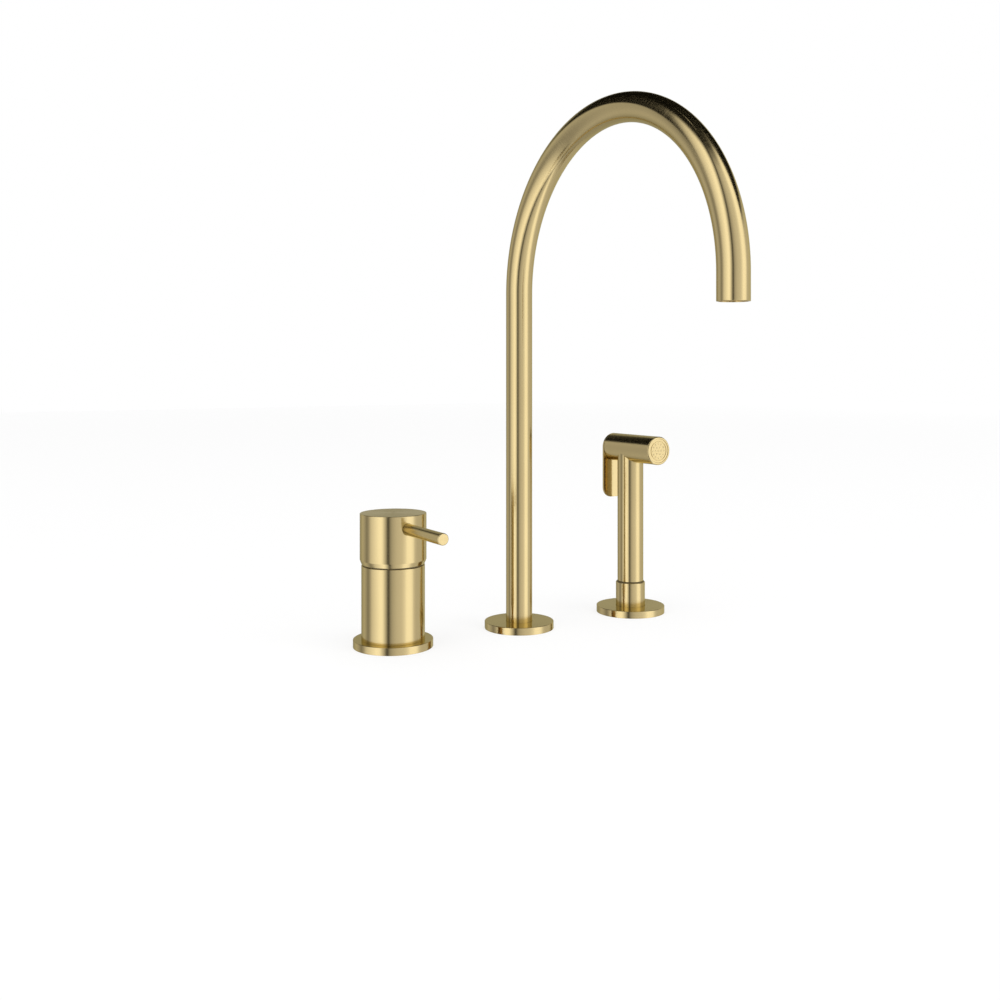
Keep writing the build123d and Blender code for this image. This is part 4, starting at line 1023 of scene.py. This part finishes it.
handle = lathe(
    "spray_handle_tube",
    [
        (HANDLE_BORE, HANDLE_END, EDGE),
        (HANDLE_RADIUS, HANDLE_END, 0.2),
        (HANDLE_RADIUS, HEAD_HEIGHT, 0),
        (HANDLE_BORE, HEAD_HEIGHT, 0),
    ],
    (SPRAY_X, 0, 0),
)
saddle = drill("saddle", HEAD_RADIUS, -SADDLE_HALF, SADDLE_HALF, HEAD_MIDDLE, BACKWARDS, 160)
fit(carve(handle, saddle), "handset", "brushed_brass", "spray_handle")

head = lathe(
    "spray_head_barrel",
    [
        (HEAD_BORE, HEAD_FRONT, EDGE),
        (HEAD_RADIUS - HEAD_BEVEL, HEAD_FRONT, 0.2),
        (HEAD_RADIUS, HEAD_FRONT + HEAD_BEVEL, 0.3),
        (HEAD_RADIUS, HEAD_BACK, EDGE),
        (HEAD_BORE, HEAD_BACK, EDGE),
    ],
    HEAD_MIDDLE,
    BACKWARDS,
)
relief = HEAD_RADIUS * sin(radians(SWING))
wedge = slab(
    "swing_relief",
    [
        (HEAD_BACK, PIN_Z),
        (HEAD_BACK + relief, PIN_Z),
        (HEAD_BACK + relief, PIN_Z - HEAD_RADIUS),
        (HEAD_BACK - relief, PIN_Z - HEAD_RADIUS),
    ],
    [(0, -WEDGE_HALF, 0), (0, WEDGE_HALF, 0)],
    (SPRAY_X, 0, 0),
    *FROM_SIDE,
)
pin_drill = drill("pin_drill", PIN_RADIUS, -PIN_HALF, HEAD_RADIUS + OVERCUT, PIN_MIDDLE, ACROSS)
water_drill = drill(
    "water_drill", WATERWAY_HOLE, -HEAD_RADIUS - OVERCUT, 0, HEAD_MIDDLE, segments=96
)
for tool in (wedge, pin_drill, water_drill):
    carve(head, tool)
fit(head, "handset", "brushed_brass", "spray_head")

disc = lathe(
    "spray_face_disc",
    [
        (0, FACE_FRONT, 0),
        (GROOVE_RADIUS - GROOVE_WIDTH / 2, FACE_FRONT, 0.08),
        (GROOVE_RADIUS - GROOVE_WIDTH / 2, FACE_FRONT + GROOVE_DEPTH, 0.08),
        (GROOVE_RADIUS + GROOVE_WIDTH / 2, FACE_FRONT + GROOVE_DEPTH, 0.08),
        (GROOVE_RADIUS + GROOVE_WIDTH / 2, FACE_FRONT, 0.08),
        (FACE_RADIUS, FACE_FRONT, EDGE),
        (FACE_RADIUS, FACE_CUP_END, EDGE),
        (CUP_BORE, FACE_CUP_END, EDGE),
        (CUP_BORE, FACE_FRONT + FACE_WALL, EDGE),
        (0, FACE_FRONT + FACE_WALL, 0),
    ],
    HEAD_MIDDLE,
    BACKWARDS,
    closed=False,
)
mat = lathe(
    "spray_nozzle_mat",
    [
        (0, FACE_FRONT + FACE_WALL, 0),
        (CUP_BORE - FIT, FACE_FRONT + FACE_WALL, 0.2),
        (CUP_BORE - FIT, FACE_FRONT + FACE_WALL + MAT_HEIGHT, 0.2),
        (0, FACE_FRONT + FACE_WALL + MAT_HEIGHT, 0),
    ],
    HEAD_MIDDLE,
    BACKWARDS,
    closed=False,
)
face_middle = (SPRAY_X, FACE_FRONT, HEAD_HEIGHT)
for ring, count in ((0, 1), (1, 6), (2, 12)):
    hole = drill("nozzle_drill", NOZZLE_RADIUS + FIT, OVERCUT, NOZZLE_ROOT, segments=24)
    carve(disc, ringed(hole, count, ring * NOZZLE_PITCH, face_middle, "brushed_brass", tilt=90))
    nozzle = lathe(
        "nozzle",
        [
            (0, NOZZLE_ROOT, 0),
            (NOZZLE_RADIUS, NOZZLE_ROOT, 0),
            (NOZZLE_RADIUS, NOZZLE_HEIGHT, 0.2),
            (NOZZLE_BORE, NOZZLE_HEIGHT, 0.08),
            (0, NOZZLE_HEIGHT - NOZZLE_CONE, 0),
        ],
        closed=False,
        segments=24,
    )
    carve(mat, ringed(nozzle, count, ring * NOZZLE_PITCH, face_middle, "grey_silicone", tilt=90), "UNION")
fit(disc, "handset", "brushed_brass", "spray_face")
fit(mat, "handset", "grey_silicone", "spray_nozzles")


# ------------------------------------------------------------------ side spray: trigger lever
def keyhole_outline():
    """Outline of the thumb plate: round top of the head's radius, straight sides, rounded foot."""
    corner_top = PLATE_FOOT + PLATE_CORNER
    side = HEAD_RADIUS - PLATE_CORNER
    straight = [HEAD_HEIGHT + (corner_top - HEAD_HEIGHT) * k / 9 for k in range(1, 9)]
    outline = []
    for k in range(97):
        turn = pi * k / 96
        outline.append((-HEAD_RADIUS * cos(turn), HEAD_HEIGHT + HEAD_RADIUS * sin(turn)))
    outline += [(HEAD_RADIUS, height) for height in straight]
    for middle, start in ((side, 0), (-side, pi / 2)):
        for k in range(25):
            turn = start + pi / 2 * k / 24
            outline.append((middle + PLATE_CORNER * cos(turn), corner_top - PLATE_CORNER * sin(turn)))
    outline += [(-HEAD_RADIUS, height) for height in reversed(straight)]
    return outline


trigger = slab(
    "spray_trigger_plate",
    keyhole_outline(),
    [(-1.5, PLATE_FRONT, 0), (0, PLATE_FRONT, EDGE), (0, PLATE_BACK, 0.3), (-1.5, PLATE_BACK, 0)],
    (SPRAY_X, 0, 0),
)
neck_foot = PIN_Z - NECK_DROP
reach = sqrt(HUB_PIN_RADIUS**2 - NECK_DROP**2)
hub_side = [(FORK_FRONT, neck_foot), (PIN_Y - reach, neck_foot)]
for k in range(1, 12):
    turn = pi + radians(34) + radians(112) * k / 12
    hub_side.append((PIN_Y + HUB_PIN_RADIUS * cos(turn), PIN_Z + HUB_PIN_RADIUS * sin(turn)))
hub_side += [
    (PIN_Y + reach, neck_foot),
    (PLATE_FRONT + 0.5, neck_foot),
    (PLATE_FRONT + 0.5, PIN_Z + HUB_PIN_RADIUS),
    (PIN_Y, PIN_Z + HUB_PIN_RADIUS),
    (FORK_BACK, FORK_BASE),
    (FORK_FRONT, FORK_BASE),
]
hub = slab(
    "trigger_hub",
    hub_side,
    [(0, -HUB_HALF, 0), (0, HUB_HALF, 0)],
    (SPRAY_X, 0, 0),
    *FROM_SIDE,
)
fork = slab(
    "trigger_fork",
    [
        (-FORK_HALF, PIN_Z),
        (FORK_HALF, PIN_Z),
        (FORK_HALF, FORK_TOP),
        (FORK_SLOT, FORK_TOP),
        (FORK_SLOT, FORK_BASE),
        (-FORK_SLOT, FORK_BASE),
        (-FORK_SLOT, FORK_TOP),
        (-FORK_HALF, FORK_TOP),
    ],
    [(0, FORK_FRONT, 0), (0, FORK_BACK, 0)],
    (SPRAY_X, 0, 0),
)
bore_half = HUB_HALF + 3 * OVERCUT
pin_bore = drill("pin_bore", PIN_RADIUS + FIT, -bore_half, bore_half, PIN_MIDDLE, ACROSS)
carve(trigger, hub, "UNION")
carve(trigger, fork, "UNION")
carve(trigger, pin_bore)
fit(trigger, "trigger", "brushed_brass", "trigger_lever", finish="buffed_brass")

# ------------------------------------------------------------------ studio
CAMERA_AZIMUTH = -121.55  # degrees from +X to the camera, as seen from the tap
WALL_RADIUS = 6.0  # m

# Light on the wall round the tap: azimuth from the camera in degrees, turning right, and level.
# The levels were set to what the brass mirrors in the photograph, as measured on it, and
# adjusted until the bands met. They don't stand for known lamps.
BRIGHT_LEFT = ((-86, 0.56), (-76, 1.04), (-58, 1.42), (-42, 1.74), (-33, 1.66), (-26, 1.1), (-19, 0.58))
DARK_STRIP = ((-13.5, 0.1), (-9.5, 0.16), (-4, 0.5))
GREY_MIDDLE = ((3, 0.7), (16, 0.9), (35, 1.04))
BRIGHT_RIGHT = ((46, 1.3), (54, 1.68), (67, 1.72), (77, 1.56), (85, 1.02))
DIM_RIGHT = ((95, 0.82), (115, 0.8), (135, 0.68), (155, 0.7), (170, 0.52))
DIM_LEFT = ((-160, 0.46), (-145, 0.46), (-122, 0.72), (-108, 0.58), (-96, 0.35))
FULL_LIGHT = 2.0  # a ramp's colours end at 1, so they hold half of each level
DARK = 0.02  # what is above the walls
FRONT_EDGE = (58, 70)  # degrees up where the light in front fades out
SIDE_EDGE = (24.5, 29.5)  # where the walls at the sides end
BACK_EDGE = (31, 35)  # and the taller wall behind
FRONT_FROM = (0.03, 0.11)  # cosines to the camera's azimuth between which the front begins
BACK_FROM = (-0.83, -0.88)  # and the back
DOME_END = 88  # degrees up and down to which the dome is closed
DOME_STEP = 4  # degrees


def background_tree(block):
    """Emptied node tree of a material or a world."""
    block.use_nodes = True
    block.node_tree.nodes.clear()
    return block.node_tree


def seen_rays(tree):
    """One for the rays that show a background: from the camera, off metal and through glass."""
    path = add(tree, "ShaderNodeLightPath").outputs
    direct = maths(tree, "MAXIMUM", path["Is Camera Ray"], path["Is Glossy Ray"])
    return maths(tree, "MAXIMUM", direct, path["Is Transmission Ray"])


def fade_out(tree, height, edge):
    """Full light below an edge given in degrees up, dark above it."""
    low, high = (sin(radians(angle)) for angle in edge)
    return add(
        tree,
        "ShaderNodeMapRange",
        {"Value": height, "From Min": low, "From Max": high, "To Min": FULL_LIGHT, "To Max": DARK},
    )


walls = bpy.data.materials.new("studio_walls")
tree = background_tree(walls)
spot = add(tree, "ShaderNodeTexCoord").outputs["Object"]
around = add(tree, "ShaderNodeTexGradient", {"Vector": spot}, gradient_type="RADIAL")
ramp = add(tree, "ShaderNodeValToRGB", {"Fac": around.outputs["Fac"]})
stops = []
for azimuth, level in BRIGHT_LEFT + DARK_STRIP + GREY_MIDDLE + BRIGHT_RIGHT + DIM_RIGHT + DIM_LEFT:
    stops.append((((azimuth + CAMERA_AZIMUTH + 180) / 360) % 1, level / FULL_LIGHT))
stops.sort()
ends = ramp.color_ramp.elements
(first_stop, first_level), (last_stop, last_level) = stops[0], stops[-1]
seam = last_level + (first_level - last_level) * (1 - last_stop) / (1 - last_stop + first_stop)
for end, position in zip(ends, (0.0, 1.0)):
    end.position = position
    end.color = (seam, seam, seam, 1)
for position, level in stops:
    ends.new(position).color = (level, level, level, 1)
direction = add(tree, "ShaderNodeVectorMath", {0: spot}, operation="NORMALIZE")
height = add(tree, "ShaderNodeSeparateXYZ", {0: direction}).outputs["Z"]
level_spot = add(tree, "ShaderNodeVectorMath", {0: spot, 1: (1, 1, 0)}, operation="MULTIPLY")
bearing = add(tree, "ShaderNodeVectorMath", {0: level_spot}, operation="NORMALIZE")
to_camera = (cos(radians(CAMERA_AZIMUTH)), sin(radians(CAMERA_AZIMUTH)), 0)
ahead = add(tree, "ShaderNodeVectorMath", {0: bearing, 1: to_camera}, operation="DOT_PRODUCT")
facing = ahead.outputs["Value"]
in_front, behind = (
    add(tree, "ShaderNodeMapRange", {"Value": facing, "From Min": start, "From Max": end})
    for start, end in (FRONT_FROM, BACK_FROM)
)
side_end, back_end = (fade_out(tree, height, edge) for edge in (SIDE_EDGE, BACK_EDGE))
walls_end = add(tree, "ShaderNodeMix", {"Factor": behind, "A": side_end, "B": back_end})
front_end = fade_out(tree, height, FRONT_EDGE)
strength = add(tree, "ShaderNodeMix", {"Factor": in_front, "A": walls_end, "B": front_end})
light = {"Color": ramp.outputs["Color"], "Strength": strength.outputs["Result"]}
glow = add(tree, "ShaderNodeEmission", light)
add(tree, "ShaderNodeOutputMaterial", {"Surface": glow})

dome_section = []
for angle in range(-DOME_END, DOME_END + 1, DOME_STEP):
    up = radians(angle)
    dome_section.append((WALL_RADIUS / MM * cos(up), WALL_RADIUS / MM * sin(up), 0))
dome = lathe("studio_dome", dome_section, closed=False, segments=180)
dome.data.materials.append(walls)
dome.visible_camera = False
dome.visible_shadow = False

FLOOR_HALF = 5.0  # m
FLOOR_DROP = -0.0001  # m, so that the floor and the foot rings' undersides aren't in one plane
PAPER_SHARE = 0.25  # how much of the floor's look is lit paper, which takes the shadow
floor_mesh = bpy.data.meshes.new("floor")
floor_corners = ((-1, -1), (1, -1), (1, 1), (-1, 1))
floor_points = [(x * FLOOR_HALF, y * FLOOR_HALF, FLOOR_DROP) for x, y in floor_corners]
floor_mesh.from_pydata(floor_points, [], [(0, 1, 2, 3)])
floor = bpy.data.objects.new("floor", floor_mesh)
bpy.context.scene.collection.objects.link(floor)
paper_sheet = bpy.data.materials.new("floor_paper_white")
tree = background_tree(paper_sheet)
paper = add(tree, "ShaderNodeBsdfDiffuse", {"Color": colour("#F6F6F6")})
white = add(tree, "ShaderNodeEmission", {"Strength": 1.0})
seen = add(tree, "ShaderNodeMixShader", {"Fac": PAPER_SHARE, 1: white, 2: paper})
top = add(tree, "ShaderNodeMixShader", {"Fac": seen_rays(tree), 1: paper, 2: seen})
underside = add(tree, "ShaderNodeNewGeometry").outputs["Backfacing"]
clear = add(tree, "ShaderNodeBsdfTransparent")
one_sided = add(tree, "ShaderNodeMixShader", {"Fac": underside, 1: top, 2: clear})
add(tree, "ShaderNodeOutputMaterial", {"Surface": one_sided})
floor_mesh.materials.append(paper_sheet)
# the metal mirrors the dome alone: a mirrored white floor would light up every underside
floor.visible_glossy = False

world = bpy.data.worlds.new("studio")
bpy.context.scene.world = world
tree = background_tree(world)
ROOM_LIGHT = 0.5  # the world's own light on matt surfaces, where 1 is white
strength = add(tree, "ShaderNodeMapRange", {"Value": seen_rays(tree), "To Min": ROOM_LIGHT, "To Max": 1.0})
background = add(tree, "ShaderNodeBackground", {"Color": (1, 1, 1, 1), "Strength": strength})
add(tree, "ShaderNodeOutputWorld", {"Surface": background})

# wide light from above: it lights the floor evenly and makes one soft shadow under each piece
OVERHEAD_LIGHT = 2.3  # W/m2
OVERHEAD_SPREAD = 60  # degrees across
overhead = bpy.data.lights.new("overhead_light", "SUN")
overhead.energy = OVERHEAD_LIGHT
overhead.angle = radians(OVERHEAD_SPREAD)
overhead_object = bpy.data.objects.new("overhead_light", overhead)
overhead_object.visible_glossy = False
bpy.context.scene.collection.objects.link(overhead_object)

# solved from the foot rings' ellipses and the arch in the photograph
CAMERA_PLACE = (-0.4942, -0.7874, 0.2194)  # m
CAMERA_LOOK = (0.5233, 0.8522, 0.0)  # level
LENS = 39.725  # mm on a 36 mm sensor
CAMERA_SHIFT = (-0.00833, -0.13311)
camera_data = bpy.data.cameras.new("camera")
camera_data.sensor_width = 36.0
camera_data.lens = LENS
camera_data.shift_x, camera_data.shift_y = CAMERA_SHIFT
camera_data.clip_start = 0.01
camera_data.clip_end = 30.0
camera = bpy.data.objects.new("camera", camera_data)
camera.location = CAMERA_PLACE
camera.rotation_euler = Vector(CAMERA_LOOK).to_track_quat("-Z", "Y").to_euler()
bpy.context.scene.collection.objects.link(camera)
bpy.context.scene.camera = camera
bpy.context.scene.view_settings.view_transform = "Standard"

bpy.context.view_layer.update()
